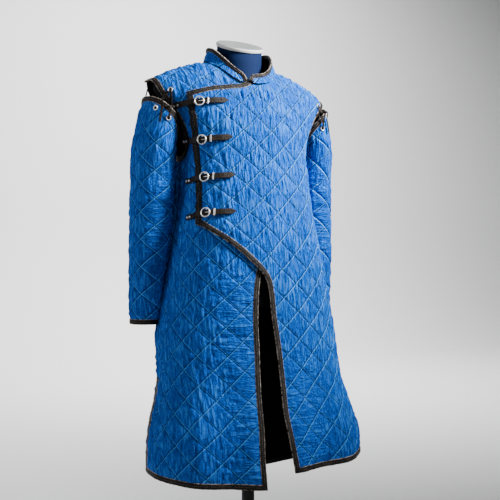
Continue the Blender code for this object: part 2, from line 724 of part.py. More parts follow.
# ------------------------------------------------------------------ the collar
class Collar:
    """A stand collar on the neck edges; s runs along its base, t up it."""

    def __init__(self):
        spots = []
        for place, run in ((place_right, neck_run(FRONT, NOTCH_U - 0.0205, -NECK_HALF, NECK_DROP)),
                           (place_back, BACK_NECK), (place_left, LEFT_NECK[::-1])):
            for u, v in run:
                if not spots or np.linalg.norm(place(u, v, 0) - spots[-1][0]) > 0.004:
                    spots.append((place(u, v, WALL + COLLAR_UP), spot(place, u, v)[1]))
        self.base = np.array([p for p, _n in spots])
        out = self.base - self.base.mean(0)
        out[:, 2] = 0
        self.out = out / np.linalg.norm(out, axis=1)[:, None]
        self.base = self.base + self.out * 0.0012
        self.run = np.concatenate([[0], np.cumsum(np.linalg.norm(np.diff(self.base, axis=0),
                                                                 axis=1))])
        self.length = self.run[-1]
        self.middle = np.array([0.0, 0.060])

    def height(self, s):
        turn = 2 * math.pi * s / self.length
        return COLLAR_HEIGHT + COLLAR_BACK_HEIGHT * (1 - math.cos(turn)) / 2

    def place(self, s, t, h):
        base, out = (np.array([np.interp(s, self.run, table[:, k]) for k in range(3)])
                     for table in (self.base, self.out))
        out /= np.linalg.norm(out)
        top = base.copy()
        top[:2] = self.middle + (base[:2] - self.middle) * COLLAR_LEAN
        top[2] += self.height(s)
        return base + (top - base) * (t / self.height(s)) + out * h

    def outline(self):
        corner = COLLAR_CORNER
        steps = np.linspace(0.0, math.pi / 2, 5)
        edge_h = self.height(0.0) - BINDING_W * 0.8
        start = [(corner * (1 - math.cos(a)) , edge_h - corner + corner * math.sin(a))
                 for a in steps]
        top = [(s, self.height(s) - BINDING_W * 0.8)
               for s in np.linspace(corner, self.length - corner, 19)]
        base = np.array([(s, 0.0) for s in np.linspace(self.length, 0.0, 22)])
        rising = np.array([(0.0, 0.0)] + start)
        falling = np.array([(self.length - s, t) for s, t in reversed([(0.0, 0.0)] + start)])
        return base, np.vstack([rising, np.array(top)[1:-1], falling])


def collar_objects():
    shape = Collar()
    base, top = shape.outline()
    outline = np.vstack([base[:-1], top[:-1]])
    add_object("collar", panel("collar", shape.place, outline, lambda s, t: 0, plain=True,
                               wall=COLLAR_WALL), "cloth")
    spots = [spot(shape.place, s, t) for s, t in top]
    section = [(a, u + (COLLAR_WALL - WALL) * (u > 0.003)) for a, u in BINDING_SECTION]
    section = [(a * 0.8 if a > 0.001 else a + 0.0006, u) for a, u in section]
    add_object("binding_collar", binding("binding_collar", spots[1:-1], 1, section=section),
               "binding")


# ------------------------------------------------------------------ small solids
def frame_matrix(place, u, v, h):
    """A frame on the cloth: X along u, Z out of the cloth."""
    here, normal = spot(place, u, v, h)
    along = place(u + 0.002, v, h) - place(u - 0.002, v, h)
    along -= normal * np.dot(along, normal)
    along /= np.linalg.norm(along)
    across = np.cross(normal, along)
    return Matrix(((along[0], across[0], normal[0], here[0]),
                   (along[1], across[1], normal[1], here[1]),
                   (along[2], across[2], normal[2], here[2]), (0, 0, 0, 1)))


def as_mesh(thing):
    """Takes a primitive's mesh with its place applied, and removes the object."""
    mesh = thing.data
    mesh.transform(thing.matrix_basis)
    bpy.data.objects.remove(thing)
    return mesh


def torus(matrix, major, minor, turns, sides):
    bpy.ops.mesh.primitive_torus_add(major_radius=major, minor_radius=minor,
                                     major_segments=turns, minor_segments=sides)
    thing = bpy.context.object
    thing.matrix_basis = matrix
    return as_mesh(thing)


def rod(start, end, radius, sides, top_radius=None):
    """A cylinder or cone from start to end."""
    start, end = Vector(start), Vector(end)
    bpy.ops.mesh.primitive_cone_add(vertices=sides, radius1=radius,
                                    radius2=radius if top_radius is None else top_radius,
                                    depth=(end - start).length)
    thing = bpy.context.object
    turn = (end - start).to_track_quat("Z", "Y").to_matrix().to_4x4()
    thing.matrix_basis = Matrix.Translation((start + end) / 2) @ turn
    return as_mesh(thing)


def united(name, meshes):
    """One body from meshes that overlap."""
    things = []
    for k, mesh in enumerate(meshes):
        thing = bpy.data.objects.new(f"{name}_{k}", mesh)
        CUTTERS.objects.link(thing)
        things.append(thing)
    for other in things[1:]:
        cut = things[0].modifiers.new("join", "BOOLEAN")
        cut.operation = "UNION"
        cut.solver = "EXACT"
        cut.object = other
    bpy.context.view_layer.update()
    whole = things[0].evaluated_get(bpy.context.evaluated_depsgraph_get())
    mesh = bpy.data.meshes.new_from_object(whole)
    for thing in things:
        bpy.data.objects.remove(thing)
    shell = bmesh.new()
    shell.from_mesh(mesh)
    bmesh.ops.remove_doubles(shell, verts=shell.verts, dist=0.00002)
    bmesh.ops.triangulate(shell, faces=shell.faces)
    shell.to_mesh(mesh)
    shell.free()
    return mesh


# ------------------------------------------------------------------ seats on the cloth
def cloth_tree(name):
    mesh = bpy.data.objects[name].data
    return BVHTree.FromPolygons([v.co for v in mesh.vertices], [p.vertices for p in mesh.polygons])


def cloth_height(tree, start, normal):
    """Height of the cloth's face over a point of its inner wall, or 0 beside the cloth."""
    away = 0.03
    start, normal = Vector(start), Vector(normal)
    gap = tree.ray_cast(start + normal * away, -normal, away)[3]
    return 0.0 if gap is None else away - gap


def ring_seat(tree, place, u, v):
    """Height at which an eyelet's wire lies just clear of the cloth, all round."""
    frame = frame_matrix(place, u, v, 0.0)
    normal = frame.col[2].xyz
    heights = [cloth_height(tree, frame @ Vector((r * math.cos(a), r * math.sin(a), 0)), normal)
               for a in np.linspace(0, 2 * math.pi, 24, endpoint=False)
               for r in (EYELET_R - EYELET_WIRE, EYELET_R, EYELET_R + EYELET_WIRE)]
    return max(heights) + EYELET_WIRE + GAP


# ------------------------------------------------------------------ straps and buckles
# Height of the strap's underside over the underlap's inner wall, along u from the ring's middle.
# The base, where it is 0, lies on the cloth.
STRAP_UP = 0.0186
STRAP_RISE = [(STRAP_BASE, 0.0), (-0.056, 0.0), (-0.046, 0.0), (-0.035, 0.0112),
              (-0.025, 0.0172), (-0.012, STRAP_UP), (0.0, STRAP_UP), (0.010, STRAP_UP),
              (0.020, STRAP_UP), (0.030, STRAP_UP), (0.040, STRAP_UP), (0.050, 0.0170),
              (0.058, 0.0162), (STRAP_TIP, 0.0156)]
STRAP_FLAT = -0.044             # the base is flat as far as this
TIP_WIDTHS = {-1: 0.12, -2: 0.72}
TAB_UNDER = 0.0167
TAB_T = 0.0016
TAB_END = 0.040
KEEPER_U = 0.0185
KEEPER_T = 0.0010
RIVETS = (-0.062, -0.052)
RING_UP = STRAP_UP + STRAP_T + GAP + WIRE_R
BAR_UP = STRAP_UP - GAP - BAR_R


def strap_place(u, v, h):
    return FRONT.point(u, v, h)


def strap_v(row, offset):
    """v of the strap's middle line, at an offset along u from the ring."""
    return float(np.interp(offset, [STRAP_BASE, 0.0, STRAP_TIP], [row.base_v, row.ring_v, row.tip_v]))


def fastening(row):
    def here(offset, h):
        return spot(strap_place, row.ring_u + offset, strap_v(row, offset), h)

    widths = [STRAP_W] * len(STRAP_RISE)
    for k, share in TIP_WIDTHS.items():
        widths[k] *= share
    trees = [cloth_tree(name) for name in ("right_front", "binding_armhole_right")]
    base = max(cloth_height(tree, *spot(strap_place, row.ring_u + d, strap_v(row, d) + w))
               for tree in trees
               for d in np.linspace(STRAP_BASE, STRAP_FLAT, 13)
               for w in np.linspace(-STRAP_W / 2, STRAP_W / 2, 7)) + 2 * GAP
    strap = ribbon("strap", [here(d, max(h, base)) for d, h in STRAP_RISE], widths, STRAP_T)
    heads = []
    for offset in RIVETS:
        under, normal = here(offset, base + STRAP_T * 0.5)
        heads.append(rod(under, under + normal * (STRAP_T * 0.5 + 0.0012), 0.0030, 10, 0.0022))
    add_object(f"strap_{row.name}", united("strap", [strap] + heads), "leather")

    tab = [here(d, TAB_UNDER) for d in (BAR_R + GAP, 0.010, 0.020, 0.030, TAB_END)]
    add_object(f"tab_{row.name}", ribbon("tab", tab, [STRAP_W * 0.9] * 5, TAB_T), "leather")

    matrix = frame_matrix(strap_place, row.ring_u, row.ring_v, RING_UP)
    across = STRAP_W / 2 + 0.0019
    pieces = [torus(matrix, RING_R, WIRE_R, 16, 5)]
    low = BAR_UP - RING_UP
    ends = [matrix @ Vector((0, side * across, low)) for side in (-1, 1)]
    pieces.append(rod(ends[0], ends[1], BAR_R, 5))
    for side, end in zip((-1, 1), ends):
        pieces.append(rod(end - (end - matrix @ Vector((0, side * across, 0))).normalized() * -0.0004,
                          matrix @ Vector((0, side * (RING_R - 0.0006), 0.0002)), BAR_R, 5))
    pieces.append(rod(matrix @ Vector((-0.001, 0, -WIRE_R + 0.0010)),
                      matrix @ Vector((RING_R, 0, 0.0008)), 0.0009, 5))
    add_object(f"buckle_{row.name}", united("buckle", pieces), "metal")

    keeper_low = TAB_UNDER - GAP - KEEPER_T
    keeper_high = STRAP_UP + STRAP_T + GAP
    frame = frame_matrix(strap_place, row.ring_u + KEEPER_U, strap_v(row, KEEPER_U), 0.0)
    half = STRAP_W / 2 + 0.0007
    section = [(-0.0021, 0), (0.0021, 0), (0.0021, KEEPER_T), (-0.0021, KEEPER_T)]
    corners = [((-half, keeper_low + KEEPER_T), (-1, -1)), ((half, keeper_low + KEEPER_T), (1, -1)),
               ((half, keeper_high), (1, 1)), ((-half, keeper_high), (-1, 1))]
    rows = []
    for (across, up), (dx, dy) in corners:
        rows.append([frame @ Vector((along, across + dx * thick, up + dy * thick))
                     for along, thick in section])
    add_object(f"keeper_{row.name}", sweep("keeper", [[np.array(p) for p in r] for r in rows],
                                           True), "metal")


# ------------------------------------------------------------------ sleeves and their lacing
def sleeve_outline(sleeve):
    """The sleeve's outline in u and v: its head, its seam and its cuff."""
    cuff = SLEEVE_BOTTOM - SLEEVE_TOP
    head = []
    for angle in np.linspace(-math.pi, math.pi, 25):
        v = sleeve.head(angle) - SLEEVE_TOP
        turn, run = sleeve.ring(SLEEVE_TOP + v)[4:]
        u = math.copysign(float(np.interp(abs(angle), turn, run)), angle)
        head.append((u, v))
    head[0] = (head[0][0] + SEAM, head[0][1])
    head[-1] = (head[-1][0] - SEAM, head[-1][1])
    low = head[0][1]
    front = [(sleeve.end(v) - SEAM, v) for v in np.linspace(low, cuff, 16)]
    wide = sleeve.end(cuff) - SEAM
    cuff_run = [(u, cuff) for u in np.linspace(wide, -wide, 14)]
    back = [(-sleeve.end(v) + SEAM, v) for v in np.linspace(cuff, low, 16)]
    return {"head": np.array(head), "front": np.array(front), "cuff": np.array(cuff_run),
            "back": np.array(back)}


def sleeve_pressed(sleeve):
    spots = [below_head(sleeve, *row) for row in SLEEVE_EYELETS.values()]

    def pressed(u, v):
        return min(eased(math.hypot(u - a, v - b)) for a, b in spots)
    return pressed


def below_head(sleeve, degrees, drop):
    """u and v at an angle round the sleeve, a drop below the edge of its head."""
    angle = math.radians(degrees)
    v = sleeve.head(angle) - SLEEVE_TOP - drop
    turn, run = sleeve.ring(SLEEVE_TOP + v)[4:]
    return math.copysign(float(np.interp(abs(angle), turn, run)), angle), v


def sleeve_objects(sleeve, word):
    runs = sleeve_outline(sleeve)
    outline = join_runs(runs["head"], runs["front"], runs["cuff"], runs["back"])
    mesh = panel(f"sleeve_{word}", sleeve.point, outline, sleeve_pressed(sleeve), (0.0, -0.01))
    add_object(f"sleeve_{word}", mesh, "cloth")
    for part in ("head", "cuff"):
        spots = [spot(sleeve.point, u, v) for u, v in runs[part]][:-1]
        turn = sleeve.side
        add_object(f"binding_{part}_{word}",
                   binding("strip", spots, turn, closed=True, section=SLEEVE_SECTION), "binding")


def lacing(sleeve, word):
    places = {"front": place_left if sleeve.side > 0 else place_right, "back": place_back}

    panels = {"front": "left_front" if sleeve.side > 0 else "right_front", "back": "back_panel"}
    tops = {}

    def eyelet(kind, name, cloth, place, u, v):
        seat = ring_seat(cloth_tree(cloth), place, u, v)
        tops[kind, name] = seat + EYELET_WIRE + 2 * GAP
        mesh = torus(frame_matrix(place, u, v, seat), EYELET_R, EYELET_WIRE, 10, 4)
        add_object(f"eyelet_{kind}_{name}_{word}", mesh, "metal")

    for row in BODY_EYELETS:
        eyelet("body", row.name, panels[row.side], places[row.side], sleeve.side * row.u, row.v)
    for name, row in SLEEVE_EYELETS.items():
        eyelet("sleeve", name, f"sleeve_{word}", sleeve.point, *below_head(sleeve, *row))
    for row in LACES:
        on_body, on_sleeve = tops["body", row.side], tops["sleeve", row.name]
        spots = [spot(places[row.side], sleeve.side * u, v, over or on_body)
                 for u, v, over in row.body]
        spots += [spot(sleeve.point, *below_head(sleeve, degrees, drop), over or on_sleeve)
                  for degrees, drop, over in row.sleeve]
        add_object(f"lace_{row.name}_{word}", ribbon("lace", spots, [LACE_W] * len(spots), LACE_T),
                   "leather")


# ------------------------------------------------------------------ the dress form
def form_point(body, u, level):
    """A point of the form under the cloth: close at the shoulder line, further in below it."""
    off = math.cos(max(level, 0.0) * math.pi / 2)
    clear = FORM_TOUCH + (FORM_CLEAR - FORM_TOUCH) * min(1.0, off * 7.0)
    step = 0.004
    low, high = level - step, min(level + step, 1.0)
    du = body.at_level(u + step, level) - body.at_level(u - step, level)
    dv = body.at_level(u, high) - body.at_level(u, low)
    normal = np.cross(dv, du) * body.sign
    return body.at_level(u, level) - normal / np.linalg.norm(normal) * clear


def form_objects():
    levels = [FORM_BOTTOM - CHEST_Z, -0.38, -0.27, -0.16, -0.07, 0.02, 0.16, 0.30, 0.44, 0.58,
              0.72, 0.84, 0.93]
    shares = np.linspace(-1.0, 1.0, 15)
    points, faces = [], []
    for level in levels:
        for body in (FRONT, BACK):
            end = float(np.interp(level if level <= 0 else level, body.levels, body.ends))
            for share in shares[:-1] if body is FRONT else shares[::-1][:-1]:
                inset = 0.0001 + 0.09 * smooth_step((level - 0.3) / 0.5)
                points.append(form_point(body, share * end * (1 - inset), level))
                if level == levels[0]:
                    points[-1][2] = FORM_BOTTOM
    count = 2 * (len(shares) - 1)
    for k in range(len(levels) - 1):
        for i in range(count):
            j = (i + 1) % count
            faces.append((k * count + i, k * count + j, (k + 1) * count + j, (k + 1) * count + i))
    faces.append(tuple(range(count)))
    last = (len(levels) - 1) * count
    ridge = len(points)
    half = len(shares) - 1
    for share in shares[1:-1]:
        x = share * (RIDGE_HALF * 0.91)
        points.append(np.array([x, RIDGE_Y, ridge_height(x) + shoulder_tilt(x, 1.0) - FORM_TOUCH]))
    top = [last] + [ridge + i for i in range(half - 1)] + [last + half]
    for i in range(half):
        front = (last + i, last + i + 1)
        rear = (last + (count - i) % count, last + (count - i - 1) % count)
        faces.append((front[0], front[1], top[i + 1], top[i]) if i else (front[0], front[1], top[1]))
        faces.append((rear[1], rear[0], top[i], top[i + 1]) if i else (rear[1], rear[0], top[1]))
    torso = closed_mesh("torso", points, [tuple(dict.fromkeys(f)) for f in faces])
    lean = Vector((0, -math.sin(NECK_LEAN), math.cos(NECK_LEAN)))
    rings = [(0.058, 1.330, 0.064, 0.0), (0.058, 1.385, 0.060, 0.35),
             (NECK_TOP.y, NECK_TOP.z, NECK_R, 1.0)]
    rows = []
    for y, z, radius, tilt in rings:
        row = []
        for k in range(24):
            turn = 2 * math.pi * k / 24
            across = radius * math.sin(turn)
            row.append(np.array([radius * math.cos(turn),
                                 y + across * math.cos(NECK_LEAN * tilt),
                                 z + across * math.sin(NECK_LEAN * tilt)]))
        rows.append(row)
    neck = sweep("neck", rows, False)
    add_object("form_body", united("form_body", [torso, neck]), "form")
    cap = rod(NECK_TOP + lean * GAP, NECK_TOP + lean * 0.009, CAP_R, 28, CAP_R - 0.001)
    add_object("form_cap", cap, "cap")
    add_object("form_pole", rod((0, 0, BASE_T + 0.012 + GAP), (0, 0, FORM_BOTTOM - GAP), POLE_R, 20),
               "steel")
    profile = [(0, 0), (BASE_R, 0), (BASE_R, 0.010), (BASE_R - 0.008, 0.017), (0.060, BASE_T),
               (0.030, BASE_T + 0.003), (0.030, BASE_T + 0.012), (0, BASE_T + 0.012)]
    rows, sides = [], 28
    points = [(0, 0, 0), (0, 0, BASE_T + 0.012)]
    for r, z in profile[1:-1]:
        points += [(r * math.cos(2 * math.pi * k / sides), r * math.sin(2 * math.pi * k / sides), z)
                   for k in range(sides)]
    faces = []
    for k in range(sides):
        j = (k + 1) % sides
        faces.append((0, 2 + j, 2 + k))
        last = 2 + (len(profile) - 3) * sides
        faces.append((1, last + k, last + j))
        for row in range(len(profile) - 3):
            a, b = 2 + row * sides, 2 + (row + 1) * sides
            faces.append((a + k, a + j, b + j, b + k))
    add_object("form_base", closed_mesh("form_base", points, faces), "steel")


# ------------------------------------------------------------------ the coat's body
def eased(gap, near=0.019, far=0.042):
    """Share of the puff left at a distance from something that presses on it."""
    return FLAT + (1 - FLAT) * smooth_step((gap - near) / (far - near))


def front_pressed(side):
    """Share of the puff that is left at a point of a front panel."""
    def pressed(u, v):
        share = body_pressed("front", u, v)
        for row in STRAP_ROWS:
            ends = (-0.1, STRAP_TIP) if side == "left" else (STRAP_BASE, 0.1)
            aside = max(ends[0] - (u - row.ring_u), (u - row.ring_u) - ends[1], 0.0)
            share = min(share, eased(math.hypot(v - strap_v(row, u - row.ring_u), aside)))
        if side == "right" and (inside(LEFT_OUTLINE, u, v)
                                or distance(LEFT_OUTLINE, u, v) < BINDING_W + 0.006):
            share = min(share, FLAT)
        return share
    return pressed


def body_pressed(side, u, v):
    """The puff is low under the eyelets and gone under the collar."""
    share = min([1.0] + [eased(math.hypot(abs(u) - row.u, v - row.v))
                         for row in BODY_EYELETS if row.side == side])
    neck = {"front": FRONT_NECK, "back": BACK_NECK}[side]
    return share * smooth_step((distance(neck, u, v, closed=False) - 0.013) / 0.014)


def body_objects():
    outlines = {"left_front": LEFT_OUTLINE, "right_front": join_runs(*RIGHT.values()),
                "back_panel": join_runs(*REAR.values())}
    for name, place, pressed, origin in (
            ("left_front", place_left, front_pressed("left"), (LATTICE_U, 0.0)),
            ("right_front", place_right, front_pressed("right"), (LATTICE_U, 0.0)),
            ("back_panel", place_back, lambda u, v: body_pressed("back", u, v), (0.0, 0.0))):
        add_object(name, panel(name, place, outlines[name], pressed, origin), "cloth")

    def spots(place, *runs):
        path = [runs[0][0]] + [p for run in runs for p in run[1:]]
        return [spot(place, u, v) for u, v in path]

    left = spots(place_left, LEFT["vent"], LEFT["hem"], LEFT["curve"], LEFT["border"], LEFT["edge"])
    add_object("binding_left_front", binding("strip", left, TURN), "binding")
    right = spots(place_right, RIGHT["vent"], RIGHT["hem"], RIGHT["free"][:-8])
    add_object("binding_right_front", binding("strip", right, -TURN), "binding")
    rear = spots(place_back, REAR["vent"], REAR["hem"], REAR["vent 2"])
    add_object("binding_back", binding("strip", rear, -TURN), "binding")
    for word, side, front_place, front_runs in (("left", 1, place_left, LEFT),
                                                ("right", -1, place_right, RIGHT)):
        hole = [spot(front_place, u, v) for u, v in front_runs["armhole"]]
        rear_run = armhole_run(BACK, side)[::-1]
        hole += [spot(place_back, u, v) for u, v in rear_run[1:-1]]
        add_object(f"binding_armhole_{word}",
                   binding("strip", hole, side * TURN, closed=True), "binding")


for thing in list(bpy.data.objects):
    bpy.data.objects.remove(thing)
PARTS = bpy.data.collections.new("gambeson")
CUTTERS = bpy.data.collections.new("cutters")
bpy.context.scene.collection.children.link(PARTS)
bpy.context.scene.collection.children.link(CUTTERS)
FINISH = {
    "cloth": material("blue linen", (0.010, 0.170, 0.640), 0.85),
    "binding": material("dark leather binding", (0.030, 0.026, 0.024), 0.50),
    "leather": material("black leather", (0.016, 0.014, 0.013), 0.45),
    "metal": material("nickel", (0.72, 0.72, 0.70), 0.25, 1.0),
    "form": material("form cover", (0.010, 0.120, 0.420), 0.90),
    "cap": material("grey cap", (0.55, 0.57, 0.60), 0.50),
    "steel": material("painted steel", (0.045, 0.045, 0.048), 0.45),
}
TURN = -1
LEFT = left_front_runs()
RIGHT = right_front_runs()
REAR = back_runs()
LEFT_OUTLINE = join_runs(*LEFT.values())
LEFT_NECK = LEFT["neck"]
FRONT_NECK = neck_run(FRONT, -NECK_HALF, NECK_HALF, NECK_DROP)
BACK_NECK = REAR["neck"]

body_objects()
collar_objects()
for row in STRAP_ROWS:
    fastening(row)
for side, word in ((1, "left"), (-1, "right")):
    arm = Sleeve(side)
    sleeve_objects(arm, word)
    lacing(arm, word)
form_objects()
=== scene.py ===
# %% [markdown]
# A gambeson is a padded coat: two layers of linen with wadding between them, held together by
# lines of stitching that cross as diamonds. Here it hangs on a limbless dress form. Each cut piece
# of the coat is a surface with two coordinates of its own, u round the body and v up the cloth, so
# a seam, a stitch line, a strap or a fold is always placed in the cloth and never in space. The
# solids for physics come from the same surfaces, which is why the two fit with no adjusting.

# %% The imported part
import json
import math
from collections import namedtuple

import bmesh
import bpy
import numpy as np
from mathutils import Matrix, Vector
from mathutils.bvhtree import BVHTree
from mathutils.geometry import delaunay_2d_cdt

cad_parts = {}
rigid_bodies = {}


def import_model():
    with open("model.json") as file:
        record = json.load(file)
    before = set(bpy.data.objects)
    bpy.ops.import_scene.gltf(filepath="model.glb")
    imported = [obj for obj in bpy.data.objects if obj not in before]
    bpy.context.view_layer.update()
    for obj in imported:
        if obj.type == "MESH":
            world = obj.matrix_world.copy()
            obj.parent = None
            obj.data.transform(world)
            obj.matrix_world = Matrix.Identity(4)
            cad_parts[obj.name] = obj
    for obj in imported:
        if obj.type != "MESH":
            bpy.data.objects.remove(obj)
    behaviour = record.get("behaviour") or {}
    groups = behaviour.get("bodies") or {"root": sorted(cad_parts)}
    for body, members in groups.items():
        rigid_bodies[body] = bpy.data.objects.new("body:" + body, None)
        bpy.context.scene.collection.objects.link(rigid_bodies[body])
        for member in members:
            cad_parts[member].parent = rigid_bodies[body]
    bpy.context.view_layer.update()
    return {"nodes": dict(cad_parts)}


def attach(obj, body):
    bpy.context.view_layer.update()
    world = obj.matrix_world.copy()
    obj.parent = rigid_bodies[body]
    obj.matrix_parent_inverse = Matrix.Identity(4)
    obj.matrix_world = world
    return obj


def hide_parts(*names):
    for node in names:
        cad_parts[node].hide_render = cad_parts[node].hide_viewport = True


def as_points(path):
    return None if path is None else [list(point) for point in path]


for thing in list(bpy.data.objects):
    bpy.data.objects.remove(thing)
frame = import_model()
print("nodes in the frame:", len(frame["nodes"]))

# %% [markdown]
# The sizes of the garment. Level is one ring of the body under the arms: its height, its half
# width, its depth to the front and the back, how far back its middle lies, and how square its
# corner is. Above the chest the rings close to the shoulder line. A body could be modelled by
# hand, but a table of rings keeps every later piece on one surface that can be measured.

# %% Sizes of the coat
CHEST_Z = 1.190
RIDGE_TOP, RIDGE_DROP, RIDGE_HALF, RIDGE_Y, RIDGE_RISE = 1.412, 0.084, 0.257, 0.067, 1.3
RIDGE_TILT = 0.061              # the wearer's right shoulder is held higher, by this share of x
Level = namedtuple("Level", "name z half_width front back y_mid square")
LEVELS = [
    Level("hem",   0.380, 0.272, 0.190, 0.190, -0.045, 2.20),
    Level("skirt", 0.500, 0.262, 0.186, 0.186, -0.036, 2.20),
    Level("vent",  0.610, 0.230, 0.174, 0.172, -0.012, 2.25),
    Level("hip",   0.720, 0.221, 0.172, 0.162,  0.008, 2.30),
    Level("belly", 0.860, 0.199, 0.169, 0.150,  0.022, 2.35),
    Level("waist", 0.950, 0.182, 0.160, 0.143,  0.029, 2.50),
    Level("ribs",  1.060, 0.166, 0.142, 0.136,  0.038, 2.55),
    Level("chest", 1.190, 0.161, 0.134, 0.130,  0.052, 2.60),
]
# The sewn cloth's thickness, the wadding's swell, and the share of it left where it is pressed.
WALL, PUFF, FLAT = 0.0035, 0.0050, 0.30
# The play in a seam, the air between two pieces that lie together, and the height of the overlap.
SEAM, GAP, LIFT = 0.0002, 0.0003, 0.0088
DIAMOND_W, DIAMOND_H, LATTICE_U = 0.0365, 0.0335, -0.015
BINDING_W, BINDING_T, VENT_GAP = 0.0120, 0.0047, 0.0030
NECK_HALF, NOTCH_U, NOTCH_V, BACK_NECK_DROP = 0.085, -0.010, 0.156, 0.066
ARMPIT_V, VENT_V = -0.036, -0.565
SEAM_SHIFT = {1: -0.020, -1: 0.046}
HEM = {"right_front": -0.787, "left_front": -0.756, "back_panel": -0.826}
HEM_SIDE = {"right_front": -0.774, "left_front": -0.745, "back_panel": -0.778}
FINE = 0.0045                   # step along an edge of the cloth
print("rings from the hem up:", ", ".join(row.name for row in LEVELS))


# %% Smooth curves and directions
def hermite(xs, ys, x):
    """A smooth curve through the points (xs, ys), level at its last point."""
    xs, ys, x = (np.asarray(a, float) for a in (xs, ys, x))
    slopes = np.gradient(ys, xs)
    slopes[-1] = 0.0
    i = np.clip(np.searchsorted(xs, x) - 1, 0, len(xs) - 2)
    step = xs[i + 1] - xs[i]
    t = (x - xs[i]) / step
    return (ys[i] * (1 + 2 * t) * (1 - t) ** 2 + slopes[i] * step * t * (1 - t) ** 2
            + ys[i + 1] * t * t * (3 - 2 * t) + slopes[i + 1] * step * t * t * (t - 1))


def smooth_step(x):
    x = np.clip(x, 0.0, 1.0)
    return x * x * (3 - 2 * x)


def smoothed(row, times):
    """A row of values, each mixed with its neighbours; the ends stay."""
    row = np.array(row, float)
    for _ in range(times):
        row[1:-1] = (row[:-2] + 2 * row[1:-1] + row[2:]) / 4
    return row


def unit(vectors):
    return vectors / np.linalg.norm(vectors, axis=-1, keepdims=True)


def run_along(points):
    """The length from a line's first point to each of its points."""
    legs = np.linalg.norm(np.diff(points, axis=0), axis=1)
    return np.concatenate([[0.0], np.cumsum(legs)])


def ridge_height(x):
    return RIDGE_TOP - RIDGE_DROP * (x / RIDGE_HALF) ** 2


def shoulder_tilt(x, rise):
    return -RIDGE_TILT * x * rise ** 2


print("shoulder line %.3f m high in the middle, %.3f m at its end"
      % (ridge_height(0.0), ridge_height(RIDGE_HALF)))


